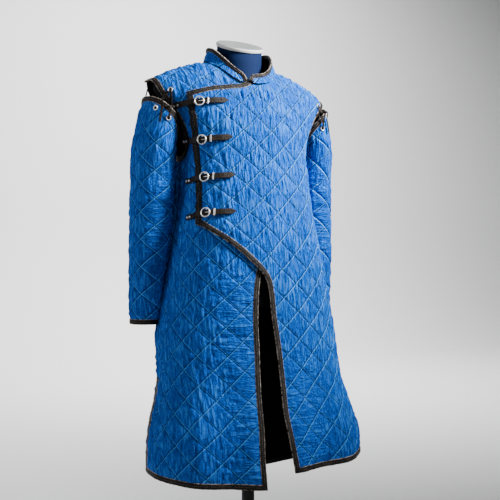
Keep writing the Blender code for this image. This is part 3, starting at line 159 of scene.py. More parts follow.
# %% The body's surface
class Body:
    """The inner wall of one side of the body, 'front' or 'back', for whole arrays of u and v."""

    ARC_STEPS, LEVEL_STEPS, TURN_STEPS, CORNER_STEPS = 64, 60, 30, 720
    BELOW = 0.06                # the rings go on this far under the hem
    SLOPE = 0.004               # the reach to each side over which the surface's slope is measured
    LAST = 1.001                # keeps a place in a table just inside its last cell

    def __init__(self, side):
        self.sign = -1.0 if side == "front" else 1.0
        self.other = None
        heights = [row.z for row in LEVELS]
        zs = np.linspace(LEVELS[0].z - self.BELOW, CHEST_Z, self.LEVEL_STEPS + 1)
        sizes = [hermite(heights, [getattr(r, c) for r in LEVELS], np.maximum(zs, heights[0]))
                 for c in ("half_width", side, "y_mid", "square")]
        rows = list(zip(*sizes))
        top = LEVELS[-1]
        for turn in np.linspace(0.0, math.pi / 2, self.TURN_STEPS + 1)[1:]:
            rise = math.sin(turn)
            rows.append((top.half_width + (RIDGE_HALF - top.half_width) * rise ** RIDGE_RISE,
                         getattr(top, side) * max(math.cos(turn), 0.0),
                         top.y_mid + (RIDGE_Y - top.y_mid) * rise, top.square))
        self.levels = np.concatenate([zs - CHEST_Z, np.linspace(0, 1, self.TURN_STEPS + 1)[1:]])
        sections = [self.section(*row) for row in rows]
        self.table = np.array([s[0] for s in sections])
        self.ends = np.array([s[1] for s in sections])
        self.meridians()

    def section(self, half, groove_shaded, mid, square):
        """A quarter of a rounded ring at even lengths, from its middle to its side."""
        angle = np.linspace(0.0, math.pi / 2, self.CORNER_STEPS + 1)
        x = half * np.sin(angle) ** (2 / square)
        y = mid + self.sign * groove_shaded * np.cos(angle) ** (2 / square)
        y[-1] = mid
        run = np.concatenate([[0.0], np.cumsum(np.hypot(np.diff(x), np.diff(y)))])
        even = np.linspace(0.0, run[-1], self.ARC_STEPS + 1)
        return np.stack([np.interp(even, run, x), np.interp(even, run, y)], 1), run[-1]

    def meridians(self):
        """For a row of u: the lengths up to the shoulder line, and the turn at each length."""
        self.mer_u = np.linspace(0.0, 0.30, 61)
        self.mer_v = np.linspace(0.0, 0.34, 171)
        turns = np.linspace(0.0, 1.0, self.TURN_STEPS + 1)
        points = self.at_level(self.mer_u[:, None], turns[None, :])
        steps = np.linalg.norm(np.diff(points, axis=1), axis=2)
        lengths = np.hstack([np.zeros((len(steps), 1)), np.cumsum(steps, 1)])
        self.mer_end = lengths[:, -1]
        self.mer_turn = np.array([np.interp(self.mer_v, row, turns) for row in lengths])

    def at_level(self, u, level):
        """The point at the length u round a ring; over the chest, level is a turn from 0 to 1."""
        u, level = np.broadcast_arrays(np.asarray(u, float), np.asarray(level, float))
        k = np.interp(level, self.levels, np.arange(len(self.levels)))
        i = np.minimum(k.astype(int), len(self.levels) - 2)
        t = k - i
        rise = np.where(level > 0, np.sin(np.clip(level, 0, 1) * math.pi / 2), 0.0)
        flat = 0.0
        for row, weight in ((i, 1 - t), (i + 1, t)):
            f = np.minimum(np.abs(u) / self.ends[row], 1.0) * self.ARC_STEPS
            j = np.minimum(f.astype(int), self.ARC_STEPS - 1)
            g = (f - j)[..., None]
            flat = flat + weight[..., None] * ((1 - g) * self.table[row, j]
                                               + g * self.table[row, j + 1])
        x, y = flat[..., 0], flat[..., 1]
        x_here = np.copysign(x, u)
        risen = CHEST_Z + (ridge_height(x) - CHEST_Z) * rise + shoulder_tilt(x_here, rise)
        return np.stack([x_here, y, np.where(level > 0, risen, CHEST_Z + level)], -1)

    def level_of(self, u, v):
        a = np.clip(np.abs(u) / self.mer_u[1], 0, len(self.mer_u) - self.LAST)
        b = np.clip(v / self.mer_v[1], 0, len(self.mer_v) - self.LAST)
        i, j = a.astype(int), b.astype(int)
        p, q = a - i, b - j
        turn = ((1 - p) * (1 - q) * self.mer_turn[i, j] + p * (1 - q) * self.mer_turn[i + 1, j]
                + (1 - p) * q * self.mer_turn[i, j + 1] + p * q * self.mer_turn[i + 1, j + 1])
        return np.where(v > 0, turn, v)

    def end(self, v):
        """The length u at the body's side."""
        return np.interp(np.minimum(v, 0.0), self.levels, self.ends)

    def ridge(self, u):
        """The length v at the shoulder line."""
        return np.interp(np.abs(u), self.mer_u, self.mer_end)

    def base(self, u, v):
        """Points on the inner wall; past the side they lie on the other half."""
        u, v = np.broadcast_arrays(np.asarray(u, float), np.asarray(v, float))
        out = self.at_level(u, self.level_of(u, v))
        if self.other is not None:
            past = np.abs(u) - self.end(v)
            over = (v <= 0) & (past > 0)
            if np.any(over):
                round_u = np.copysign(self.other.end(v) - past, u)
                out = np.where(over[..., None], self.other.at_level(round_u, v), out)
        return out

    def point(self, u, v, h):
        """Points at the height h over the inner wall."""
        step = self.SLOPE
        du = self.base(u + step, v) - self.base(u - step, v)
        dv = self.base(u, v + step) - self.base(u, v - step)
        normal = unit(np.cross(dv, du) * self.sign)
        return self.base(u, v) + normal * np.asarray(h, float)[..., None]


FRONT, BACK = Body("front"), Body("back")
FRONT.other, BACK.other = BACK, FRONT
print("half round at the chest %.3f m, at the hem %.3f m" % (FRONT.end(0), FRONT.end(-0.8)))


# %% The sleeves' surface
class Sleeve:
    """One sleeve: u runs round it from its outer line, positive to the front; v is up it."""

    TOP, BOTTOM = 1.340, 0.764
    BELOW, ABOVE = 0.03, 0.02       # the table goes on this far past both ends
    LEVEL_COUNT, TURN_STEPS, SHARE_STEPS, LAST = 200, 144, 120, 1.001
    BACK_SHIFT = {1: 0.014, -1: -0.006}
    HEAD_LOW, HEAD_RISE, HEAD_FULL = 1.172, 0.130, 0.50
    SLACK, SLACK_ANGLE = 0.0045, 2.7    # the cloth hangs looser on the side of the body
    Row = namedtuple("Row", "name z x half_x half_y y_mid")
    ROWS = [
        Row("cuff",    0.764, 0.2500, 0.0280, 0.0380, 0.086),
        Row("wrist",   0.865, 0.2450, 0.0340, 0.0480, 0.083),
        Row("elbow",   1.000, 0.2340, 0.0440, 0.0600, 0.083),
        Row("biceps",  1.130, 0.2290, 0.0450, 0.0670, 0.081),
        Row("armpit",  1.190, 0.2270, 0.0450, 0.0730, 0.076),
        Row("head",    1.255, 0.2135, 0.0460, 0.0750, 0.071),
        Row("top",     1.340, 0.2000, 0.0430, 0.0700, 0.070),
    ]

    def __init__(self, side):
        self.side = side
        heights = [row.z for row in self.ROWS]
        self.z = np.linspace(self.BOTTOM - self.BELOW, self.TOP + self.ABOVE, self.LEVEL_COUNT)
        held = np.clip(self.z, heights[0], heights[-1])
        self.sizes = [hermite(heights, [getattr(r, c) for r in self.ROWS], held)
                      for c in ("x", "half_x", "half_y", "y_mid")]
        self.turn = np.linspace(0.0, math.pi, self.TURN_STEPS + 1)
        px = self.sizes[1][:, None] * np.cos(self.turn)
        py = self.sizes[2][:, None] * np.sin(self.turn)
        run = np.hypot(np.diff(px, axis=1), np.diff(py, axis=1)).cumsum(1)
        self.run = np.hstack([np.zeros((len(run), 1)), run])
        share = np.linspace(0.0, 1.0, self.SHARE_STEPS + 1)
        self.angle = np.array([np.interp(share * row[-1], row, self.turn) for row in self.run])

    def end(self, v):
        """The length u at the seam under the arm."""
        return np.interp(self.TOP + v, self.z, self.run[:, -1])

    def angle_of(self, u, z):
        s = np.clip(np.abs(u) / np.interp(z, self.z, self.run[:, -1]), 0, 1) * self.SHARE_STEPS
        a = np.clip((z - self.z[0]) / (self.z[1] - self.z[0]), 0, len(self.z) - self.LAST)
        i, j = a.astype(int), np.minimum(s.astype(int), self.SHARE_STEPS - 1)
        p, q = a - i, s - j
        t = self.angle
        return np.copysign((1 - p) * (1 - q) * t[i, j] + p * (1 - q) * t[i + 1, j]
                           + (1 - p) * q * t[i, j + 1] + p * q * t[i + 1, j + 1], u)

    def u_of(self, angle, z):
        i = int(np.clip(np.searchsorted(self.z, z), 0, len(self.z) - 1))
        return math.copysign(float(np.interp(abs(angle), self.turn, self.run[i])), angle)

    def point(self, u, v, h):
        """Points at the height h over the sleeve's inner wall."""
        u, v, h = np.broadcast_arrays(*(np.asarray(a, float) for a in (u, v, h)))
        z = self.TOP + v
        x, half_x, half_y, y_mid = (np.interp(z, self.z, size) for size in self.sizes)
        angle = self.angle_of(u, z)
        slack = self.SLACK * smooth_step((-0.10 - v) / 0.12)
        h = h + slack * smooth_step((np.cos(angle - self.SLACK_ANGLE) - 0.3) / 0.7)
        across = unit(np.stack([np.cos(angle) / half_x, -np.sin(angle) / half_y], -1))
        px = x + half_x * np.cos(angle) + across[..., 0] * h
        py = y_mid + self.BACK_SHIFT[self.side] - half_y * np.sin(angle) + across[..., 1] * h
        return np.stack([self.side * px, py, z], -1)

    def head(self, angle):
        """The height of the sleeve's upper edge, which is cut as a curve."""
        return self.HEAD_LOW + self.HEAD_RISE * ((1 + math.cos(angle)) / 2) ** self.HEAD_FULL


SLEEVES = {word: Sleeve(side) for side, word in ((1, "left"), (-1, "right"))}
print("a cuff is %.3f m round" % (2 * SLEEVES["left"].end(Sleeve.BOTTOM - Sleeve.TOP)))

# %% [markdown]
# The cut. A tailor cuts flat cloth along an outline, and so does this script: each outline is a
# closed run of points in u and v, made of neck, shoulder, armhole, side seam, vent, hem and front
# edge. The left front laps over the right one, so its leading edge runs across the chest to the
# wearer's right, down past four buckles and back to the middle in a long curve. Runs that two
# pieces share come from one function, so their edges meet.

# %% The drawn edges
LEFT_EDGE = [(NOTCH_U, NOTCH_V), (-0.034, 0.1435), (-0.070, 0.1355), (-0.110, 0.127),
             (-0.160, 0.112)]
LEFT_BORDER = [(-0.160, 0.112), (-0.157, 0.070), (-0.154, 0.000), (-0.152, -0.075),
               (-0.157, -0.145), (-0.162, -0.186)]
LEFT_CURVE = [(-0.162, -0.186), (-0.131, -0.207), (-0.101, -0.228), (-0.076, -0.249),
              (-0.050, -0.275), (-0.027, -0.300), (-0.012, -0.324), (-0.005, -0.355),
              (-0.001, -0.410), (0.006, -0.480), (0.008, -0.570), (0.005, -0.640),
              (0.010, -0.700), (0.018, HEM["left_front"])]
RIGHT_EDGE = [(0.004, 0.150), (0.006, 0.060), (0.004, -0.060), (-0.006, -0.160), (-0.028, -0.255),
              (-0.049, -0.325), (-0.058, -0.400), (-0.061, -0.500), (-0.066, -0.580),
              (-0.071, -0.650), (-0.076, -0.720), (-0.074, HEM["right_front"])]
ARMHOLE = [(0.229, 0.170), (0.222, 0.131), (0.209, 0.095), (0.193, 0.050), (0.191, 0.010),
           (0.207, -0.023)]
ARMHOLE_TIP = 0.237
FRONT_NECK_DROP = float(FRONT.ridge(NECK_HALF)) - SEAM - NOTCH_V
print("the curve of the left front has", len(LEFT_CURVE), "places, and falls",
      round(LEFT_CURVE[0][1] - LEFT_CURVE[-1][1], 3), "m")


# %% Runs of points
def through(rows, step=FINE):
    """Points at even lengths along a smooth curve through the rows, ends included."""
    rows = np.array(rows, float)
    padded = np.vstack([2 * rows[0] - rows[1], rows, 2 * rows[-1] - rows[-2]])
    t = np.linspace(0.0, 1.0, 24, endpoint=False)[:, None]
    fine = [0.5 * (2 * b + (c - a) * t + (2 * a - 5 * b + 4 * c - d) * t * t
                   + (3 * b - a - 3 * c + d) * t ** 3)
            for a, b, c, d in zip(padded, padded[1:], padded[2:], padded[3:])]
    return even_run(np.vstack(fine + [rows[-1:]]), step)


def even_run(points, step=FINE):
    """The same line with its points at even lengths."""
    run = run_along(points)
    even = np.linspace(0.0, run[-1], max(2, round(run[-1] / step) + 1))
    return np.stack([np.interp(even, run, points[:, k]) for k in range(points.shape[1])], 1)


def join_runs(*runs):
    """One closed outline from runs that meet end to end."""
    return np.vstack([run[:-1] for run in runs])


def neck_run(body, start, stop, drop):
    angles = np.linspace(math.asin(start / NECK_HALF), math.asin(stop / NECK_HALF), 60)
    top = body.ridge(NECK_HALF) - SEAM
    return even_run(np.stack([NECK_HALF * np.sin(angles), top - drop * np.cos(angles)], 1))


def shoulder_run(body, side):
    us = np.linspace(NECK_HALF, ARMHOLE_TIP, 40)
    return np.stack([side * us, body.ridge(us) - SEAM], 1)


def armhole_run(body, side):
    rows = ([(ARMHOLE_TIP, float(body.ridge(ARMHOLE_TIP)) - SEAM)] + ARMHOLE
            + [(float(body.end(ARMPIT_V)) - SEAM, ARMPIT_V)])
    return through(rows) * (side, 1)


def side_end(body, side, v):
    drift = SEAM_SHIFT[side] * smooth_step((ARMPIT_V - v) / (ARMPIT_V - VENT_V))
    return side * (body.end(v) + (drift if body is FRONT else -drift))


def seam_run(body, side):
    vs = np.linspace(ARMPIT_V, VENT_V, 120)
    return np.stack([side_end(body, side, vs) - side * SEAM, vs], 1)


def vent_run(body, side, hem):
    vs = np.linspace(VENT_V - 0.004, hem, 48)
    return np.stack([side_end(body, side, vs) - side * (BINDING_W + VENT_GAP), vs], 1)


def flank_runs(body, side, hem):
    """The runs down one flank of a piece, from the neck's end to the hem's."""
    seam, vent = seam_run(body, side), vent_run(body, side, hem)
    return {"shoulder": shoulder_run(body, side), "armhole": armhole_run(body, side),
            "seam": seam, "vent top": np.array([seam[-1], vent[0]]), "vent": vent}


print("a side seam is %.3f m long" % run_along(seam_run(FRONT, 1))[-1])


# %% Outlines of the pieces
def left_front_runs():
    neck = neck_run(FRONT, NOTCH_U, NECK_HALF, FRONT_NECK_DROP)
    flank = flank_runs(FRONT, 1, HEM_SIDE["left_front"])
    return {"neck": neck, **flank,
            "hem": even_run(np.array([flank["vent"][-1], LEFT_CURVE[-1]])),
            "curve": through(LEFT_CURVE)[::-1], "border": through(LEFT_BORDER)[::-1],
            "edge": through([tuple(neck[0])] + LEFT_EDGE[1:])[::-1]}


def right_front_runs():
    neck = neck_run(FRONT, RIGHT_EDGE[0][0], -NECK_HALF, FRONT_NECK_DROP)
    flank = flank_runs(FRONT, -1, HEM_SIDE["right_front"])
    return {"neck": neck, **flank,
            "hem": even_run(np.array([flank["vent"][-1], RIGHT_EDGE[-1]])),
            "free": through([tuple(neck[0])] + RIGHT_EDGE[1:])[::-1]}


def back_runs():
    left, right = (flank_runs(BACK, side, HEM_SIDE["back_panel"]) for side in (1, -1))
    low = (0.0, HEM["back_panel"])
    return {"neck": neck_run(BACK, -NECK_HALF, NECK_HALF, BACK_NECK_DROP), **left,
            "hem": through([left["vent"][-1], low, right["vent"][-1]]),
            **{f"{word} 2": run[::-1] for word, run in reversed(right.items())}}


def flat_area(outline):
    u, v = outline[:, 0], outline[:, 1]
    return 0.5 * abs(float(np.dot(u, np.roll(v, -1)) - np.dot(v, np.roll(u, -1))))


LEFT, RIGHT, REAR = left_front_runs(), right_front_runs(), back_runs()
LEFT_OUTLINE, RIGHT_OUTLINE, REAR_OUTLINE = (join_runs(*runs.values())
                                             for runs in (LEFT, RIGHT, REAR))
for word, outline in (("left front", LEFT_OUTLINE), ("right front", RIGHT_OUTLINE),
                      ("back", REAR_OUTLINE)):
    print(word, "cut %.3f x %.3f m, area %.3f m2" % (*np.ptp(outline, axis=0), flat_area(outline)))

# %% [markdown]
# Worn cloth is never as even as its pattern. The skirt falls in soft folds, the overlap rides over
# the edge beneath it, and the quilt lies flatter wherever a strap, a binding or an eyelet presses
# on it. A cloth simulation could find such folds, but this coat is stiff and hangs still, so each
# fold is one row of a table here: it stays where it is put, and every piece laid on it fits.

# %% Where folds, straps, eyelets and laces lie
Fold = namedtuple("Fold", "side u_top u_hem v_top depth width")
FOLDS = [
    Fold("front", -0.200, -0.215, -0.38,  0.010, 0.036),
    Fold("front", -0.135, -0.142, -0.42, -0.009, 0.034),
    Fold("front", -0.068, -0.074, -0.44,  0.008, 0.028),
    Fold("front",  0.012,  0.020, -0.42,  0.008, 0.028),
    Fold("front",  0.088,  0.094, -0.40, -0.010, 0.036),
    Fold("front",  0.160,  0.176, -0.38,  0.011, 0.040),
    Fold("back",  -0.190, -0.222, -0.36,  0.012, 0.042),
    Fold("back",  -0.098, -0.112, -0.40, -0.012, 0.040),
    Fold("back",   0.004,  0.006, -0.42,  0.011, 0.042),
    Fold("back",   0.104,  0.120, -0.38, -0.013, 0.040),
    Fold("back",   0.196,  0.226, -0.40,  0.012, 0.040),
]
Strap = namedtuple("Strap", "name ring_u ring_v base_v tip_v")
STRAP_ROWS = [
    Strap("1", -0.147,  0.096,  0.097,  0.102),
    Strap("2", -0.143,  0.012,  0.013,  0.016),
    Strap("3", -0.142, -0.083, -0.088, -0.078),
    Strap("4", -0.147, -0.170, -0.178, -0.166),
]
STRAP_BASE, STRAP_TIP = -0.068, 0.066
Eyelet = namedtuple("Eyelet", "name side u v")
BODY_EYELETS = [Eyelet("front", "front", 0.208, 0.130), Eyelet("back", "back", 0.202, 0.158)]
# In the sleeve a place is an angle round the head, in degrees, and a drop below its edge.
SLEEVE_EYELETS = {"front": (85.7, 0.0140), "outer": (48.6, 0.0115), "back": (-72.0, 0.0115)}
# A thong leaves its eyelet in the body, crosses the gap and ends on the sleeve. Each row has a
# place and a height over the inner wall, which is 0 where the thong lies on an eyelet.
Lace = namedtuple("Lace", "name side body sleeve")
LACES = [
    Lace("front", "front",
         [(0.2080, 0.1300, 0), (0.2083, 0.1220, 0), (0.2105, 0.1060, 0.0109)],
         [(84.5, -0.0110, 0.0137), (85.0, 0.0020, 0.0096), (85.7, 0.0140, 0)]),
    Lace("outer", "front",
         [(0.2130, 0.1285, 0), (0.2235, 0.1235, 0.0109)],
         [(64.0, -0.0140, 0.0137), (66.0, 0.0010, 0.0096), (66.0, 0.0140, 0.0090),
          (67.0, 0.0370, 0.0090)]),
    Lace("back", "back",
         [(0.2020, 0.1580, 0), (0.2110, 0.1540, 0), (0.2260, 0.1480, 0.0109)],
         [(-72.0, -0.0145, 0.0134), (-72.0, 0.0005, 0.0091), (-72.0, 0.0115, 0),
          (-72.0, 0.0255, 0.0090), (-72.0, 0.0395, 0.0090), (-72.0, 0.0535, 0.0090)]),
]
print(len(FOLDS), "folds,", len(STRAP_ROWS), "straps,", len(LACES), "laces on each sleeve")


# %% Placing the cloth
def fold(side, u, v):
    """How far the folds push the cloth out, or in where a row's depth is negative."""
    total = np.zeros(np.broadcast(u, v).shape)
    for row in FOLDS:
        if row.side == side:
            grown = smooth_step((v - row.v_top) / (HEM["back_panel"] - row.v_top))
            grown = np.where(v < row.v_top, grown, 0.0)
            middle = row.u_top + (row.u_hem - row.u_top) * grown
            total = total + row.depth * grown * np.exp(-((u - middle) / row.width) ** 2)
    return total


RIGHT_FREE = through(RIGHT_EDGE)
LIFT_CLEAR, LIFT_EASE = 0.002, 0.050


def lift(u, v):
    """The left front lies over the right one's edge, and comes down to the body beyond it."""
    free = np.interp(-v, -RIGHT_FREE[:, 1], RIGHT_FREE[:, 0])
    return LIFT * (1 - smooth_step((u - free - BINDING_W - LIFT_CLEAR) / LIFT_EASE))


def fullness(behind, v):
    """The coat stands out a little behind the arm; behind is the length past the side."""
    bell = smooth_step((v + 0.60) / 0.14) * smooth_step((-0.01 - v) / 0.08)
    return 0.0065 * np.exp(-((behind - 0.055) / 0.035) ** 2) * bell


def place_right(u, v, h):
    full = np.where(u < 0, fullness(-u - FRONT.end(v), v), 0.0)
    return FRONT.point(u, v, h + fold("front", u, v) + full)


def place_left(u, v, h):
    return FRONT.point(u, v, h + fold("front", u, v) + lift(u, v))


def place_back(u, v, h):
    full = np.where(u < 0, fullness(BACK.end(v) + u, v), 0.0)
    return BACK.point(u, v, h + fold("back", u, v) + full)


hem = LEFT["hem"]
print("the folds reach %.3f m out at the hem" % fold("front", hem[:, 0], hem[:, 1]).max())


# %% What presses on the quilt
def distance(outline, points, closed=True):
    """Distance from each point to an outline."""
    a = outline if closed else outline[:-1]
    b = np.roll(outline, -1, axis=0) if closed else outline[1:]
    along = b - a
    size = np.maximum((along ** 2).sum(1), 1e-12)
    best = np.full(len(points), 9.0)
    for k in range(0, len(a), 40):
        d = points[:, None, :] - a[None, k:k + 40]
        t = np.clip((d * along[k:k + 40]).sum(2) / size[k:k + 40], 0, 1)
        gap = np.linalg.norm(d - along[k:k + 40] * t[..., None], axis=2).min(1)
        best = np.minimum(best, gap)
    return best


def inside(outline, points):
    """Which points lie inside an outline: a line from such a point crosses it an odd number
    of times."""
    count = np.zeros(len(points), int)
    for (ax, ay), (bx, by) in zip(outline, np.roll(outline, -1, axis=0)):
        if ay != by:
            spans = (ay > points[:, 1]) != (by > points[:, 1])
            count += spans & (points[:, 0] < ax + (points[:, 1] - ay) * (bx - ax) / (by - ay))
    return count % 2 == 1


def eased(gap, near=0.019, far=0.042):
    """The share of the swell left at a gap from something that presses on the quilt."""
    return FLAT + (1 - FLAT) * smooth_step((gap - near) / (far - near))


def strap_v(row, offset):
    """The height v of a strap's middle line at an offset from its ring."""
    return np.interp(offset, [STRAP_BASE, 0.0, STRAP_TIP], [row.base_v, row.ring_v, row.tip_v])


FRONT_NECK = neck_run(FRONT, -NECK_HALF, NECK_HALF, FRONT_NECK_DROP)


def pressed_body(side, points):
    share = np.ones(len(points))
    for row in BODY_EYELETS:
        if row.side == side:
            share = np.minimum(share, eased(np.hypot(np.abs(points[:, 0]) - row.u,
                                                     points[:, 1] - row.v)))
    neck = FRONT_NECK if side == "front" else REAR["neck"]
    return share * smooth_step((distance(neck, points, closed=False) - 0.012) / 0.014)


def pressed_front(word, points):
    """The share of the swell left on the left or the right front."""
    share = pressed_body("front", points)
    for row in STRAP_ROWS:
        low, high = (-0.1, STRAP_TIP) if word == "left" else (STRAP_BASE, 0.1)
        offset = points[:, 0] - row.ring_u
        aside = np.maximum(np.maximum(low - offset, offset - high), 0.0)
        share = np.minimum(share, eased(np.hypot(points[:, 1] - strap_v(row, offset), aside),
                                        0.010, 0.026))
    if word == "right":
        under = inside(LEFT_OUTLINE, points) | (distance(LEFT_OUTLINE, points) < BINDING_W + 0.006)
        share = np.where(under, np.minimum(share, FLAT), share)
    return share


places = np.array([(row.ring_u, row.ring_v) for row in STRAP_ROWS])
print("under the rings the swell is", pressed_front("left", places).round(2), "of its full height")

# %% [markdown]
# The quilt's height. Between two stitch lines the wadding swells to a soft pillow, and because the
# thread is shorter than the cloth beside it, the linen gathers into small upright puckers. The
# puckers are smooth noise, stretched along the cloth and fading out on the stitch line itself. The
# noise is made from a seeded table, so every run gives the same cloth. Each use of it starts at
# whole numbers of its own, which keeps the patterns apart.

# %% Noise and the lattice of stitch lines
TABLE_SIZE = 256
RANDOM = np.random.default_rng(11).uniform(-1.0, 1.0, (TABLE_SIZE, TABLE_SIZE))


def noise(x, y):
    """Smooth noise from -1 to 1, with features one unit wide."""
    i, j = np.floor(x).astype(int), np.floor(y).astype(int)
    p, q = smooth_step(x - i), smooth_step(y - j)
    i, j = i % TABLE_SIZE, j % TABLE_SIZE
    k, m = (i + 1) % TABLE_SIZE, (j + 1) % TABLE_SIZE
    return ((1 - p) * (1 - q) * RANDOM[i, j] + p * (1 - q) * RANDOM[k, j]
            + (1 - p) * q * RANDOM[i, m] + p * q * RANDOM[k, m])


def lattice(points, origin):
    """Diamond coordinates: stitch lines lie where either one is whole."""
    across = (points[:, 0] - origin[0]) / (2 * DIAMOND_W)
    up = (points[:, 1] - origin[1]) / (2 * DIAMOND_H)
    return across + up, across - up


def from_lattice(a, b, origin):
    """The places in the cloth of diamond coordinates."""
    return np.stack([origin[0] + (a + b) * DIAMOND_W, origin[1] + (a - b) * DIAMOND_H], 1)


def lattice_limits(outline, origin):
    """The diamond coordinates at the corners of the box round an outline."""
    (low_u, low_v), (high_u, high_v) = outline.min(0), outline.max(0)
    corners = np.array([(u, v) for u in (low_u, high_u) for v in (low_v, high_v)])
    return lattice(corners, origin)


EDGE_LENGTH = math.hypot(DIAMOND_W, DIAMOND_H)
print("a side of a diamond is %.1f mm long" % (EDGE_LENGTH * 1000))


# %% The quilt's height
GROOVE_WIDE, GROOVE_POWER, PILLOW, DOME = 0.0028, 1.3, 0.50, 0.18
PUCKER_WIDE, PUCKER_LONG, PUCKER_DEEP = 0.0056, 0.031, 0.0033
FINER, FINER_SHARE = 0.6, 0.45      # a second set of puckers, smaller and weaker
CREASE_WIDE, CREASE_LONG, CREASE_DEEP = 0.0085, 0.050, 1.6
BEND, BEND_U, BEND_V = 0.8, 0.05, 0.06      # how far puckers wander, and over what lengths
PATCH, PATCHY = 0.08, 0.28          # puckers are deeper in some patches than in others
BORDER_EASE = 0.014             # the swell grows over this far from an edge


def quilt_height(points, origin, pressed, border, creased=0.0):
    """Height of the cloth's face over the inner wall; creased is the share of level creases."""
    near = [np.abs(c - np.round(c)) * EDGE_LENGTH for c in lattice(points, origin)]
    rise = [1 - np.exp(-(d / GROOVE_WIDE) ** GROOVE_POWER) for d in near]
    dome = np.sqrt(np.clip(near[0] * near[1] * 16 / EDGE_LENGTH ** 2, 0, 1))
    u, v = points[:, 0], points[:, 1]
    bend = BEND * noise(u / BEND_U, v / BEND_V + 9)
    upright = (noise(u / PUCKER_WIDE + bend, v / PUCKER_LONG) + FINER_SHARE * noise(
        u / (PUCKER_WIDE * FINER) + 40 + bend, v / (PUCKER_LONG * FINER) + 7))
    level = noise(u / CREASE_LONG + 21 + bend, v / CREASE_WIDE + bend)
    gathers = upright * (1 - 0.75 * creased) + CREASE_DEEP * level * creased
    patchy = 1 - PATCHY + PATCHY * noise(u / PATCH + 3, v / PATCH + 5)
    edge = smooth_step(border / BORDER_EASE)
    return (WALL + PUFF * PILLOW * rise[0] * rise[1] * (1 - DOME + DOME * dome) * pressed * edge
            + PUCKER_DEEP * gathers * patchy * (0.30 + 0.70 * rise[0] * rise[1])
            * (0.45 + 0.55 * pressed) * edge)


for word, share in (("middle", 0.5), ("corner", 0.0)):
    spot = from_lattice(np.array([share]), np.array([share]), (0.0, 0.0))
    thick = quilt_height(spot, (0.0, 0.0), np.ones(1), np.ones(1))[0]
    print("the quilt is %.1f mm thick at a diamond's %s" % (thick * 1000, word))

# %% [markdown]
# A panel is filled with points that follow the stitch lines, so each valley is crisp. The flat
# pattern is cut into triangles first, and only then are its points placed on the body: the outer
# face through the quilt's height, the inner face plain. A displaced grid would be less work, but
# its squares would cut across the stitch lines and blunt them. One UV map keeps the flat pattern,
# in metres, for the weave, and another the lattice, for the stitch lines.

# %% Cutting a panel
CELLS, BACK_CELLS, SLEEVE_CELLS, LINING_CELLS = 20, 14, 18, 4   # points along a diamond's side
MARGIN, LINING_MARGIN = 0.0016, 0.005       # the first points inside an edge keep this far from it
CUT_BLUR = 1e-7                 # points nearer than this would be merged
SEWN = []                       # each quilted panel, for its stitches


def grid_in(outline, origin, cells, margin):
    """Points on a fine lattice inside an outline."""
    na, nb = (np.arange(math.floor(c.min()) * cells, math.ceil(c.max()) * cells + 1) / cells
              for c in lattice_limits(outline, origin))
    ga, gb = (g.ravel() for g in np.meshgrid(na, nb))
    points = from_lattice(ga, gb, origin)
    low, high = outline.min(0), outline.max(0)
    points = points[np.all((points > low) & (points < high), axis=1)]
    points = points[inside(outline, points)]
    return points[distance(outline, points) > margin]


def cut_flat(outline, origin, cells, margin):
    """Triangles of the flat pattern. The outline's points come first."""
    grid = grid_in(outline, origin, cells, margin)
    points = [Vector(p) for p in np.vstack([outline, grid])]
    border = [list(range(len(outline)))]
    made, _edges, faces, *_rest = delaunay_2d_cdt(points, [], border, 1, CUT_BLUR)
    return np.array([tuple(p) for p in made]), faces


print("along a diamond's side the face has a point every %.2f mm" % (EDGE_LENGTH * 1000 / CELLS))


# %% From points to a piece
def mesh_from(name, points, faces, **charts):
    """A mesh object at the origin. Each chart is a UV map: its name, and a place per point."""
    mesh = bpy.data.meshes.new(name)
    mesh.from_pydata([tuple(p) for p in points], [], [tuple(f) for f in faces])
    corner = np.empty(len(mesh.loops), int)
    mesh.loops.foreach_get("vertex_index", corner)
    for word, flat in charts.items():
        chart = mesh.uv_layers.new(name=word)
        chart.data.foreach_set("uv", np.asarray(flat, float)[corner].ravel())
    mesh.polygons.foreach_set("use_smooth", [True] * len(mesh.polygons))
    mesh.update()
    thing = bpy.data.objects.new(name, mesh)
    bpy.context.scene.collection.objects.link(thing)
    return thing


def paint(thing, **tables):
    """Stores one value per point under each name."""
    for word, values in tables.items():
        whole = np.zeros(len(thing.data.vertices))
        whole[:len(values)] = values
        thing.data.attributes.new(word, "FLOAT", "POINT").data.foreach_set("value", whole)


def finish_piece(thing, finish, *nodes):
    """Gives a piece its material and its body, and hides the solids that it stands for."""
    thing.data.materials.clear()
    thing.data.materials.append(MATERIAL[finish])
    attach(thing, "root")
    if nodes:
        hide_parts(*nodes)
    return thing


def turn_out(thing, mend=True):
    """Turns a closed mesh's faces outwards, and first makes them agree with each other."""
    shell = bmesh.new()
    shell.from_mesh(thing.data)
    if mend:
        bmesh.ops.recalc_face_normals(shell, faces=shell.faces)
    if shell.calc_volume(signed=True) < 0:
        bmesh.ops.reverse_faces(shell, faces=shell.faces)
    shell.to_mesh(thing.data)
    shell.free()
    return thing


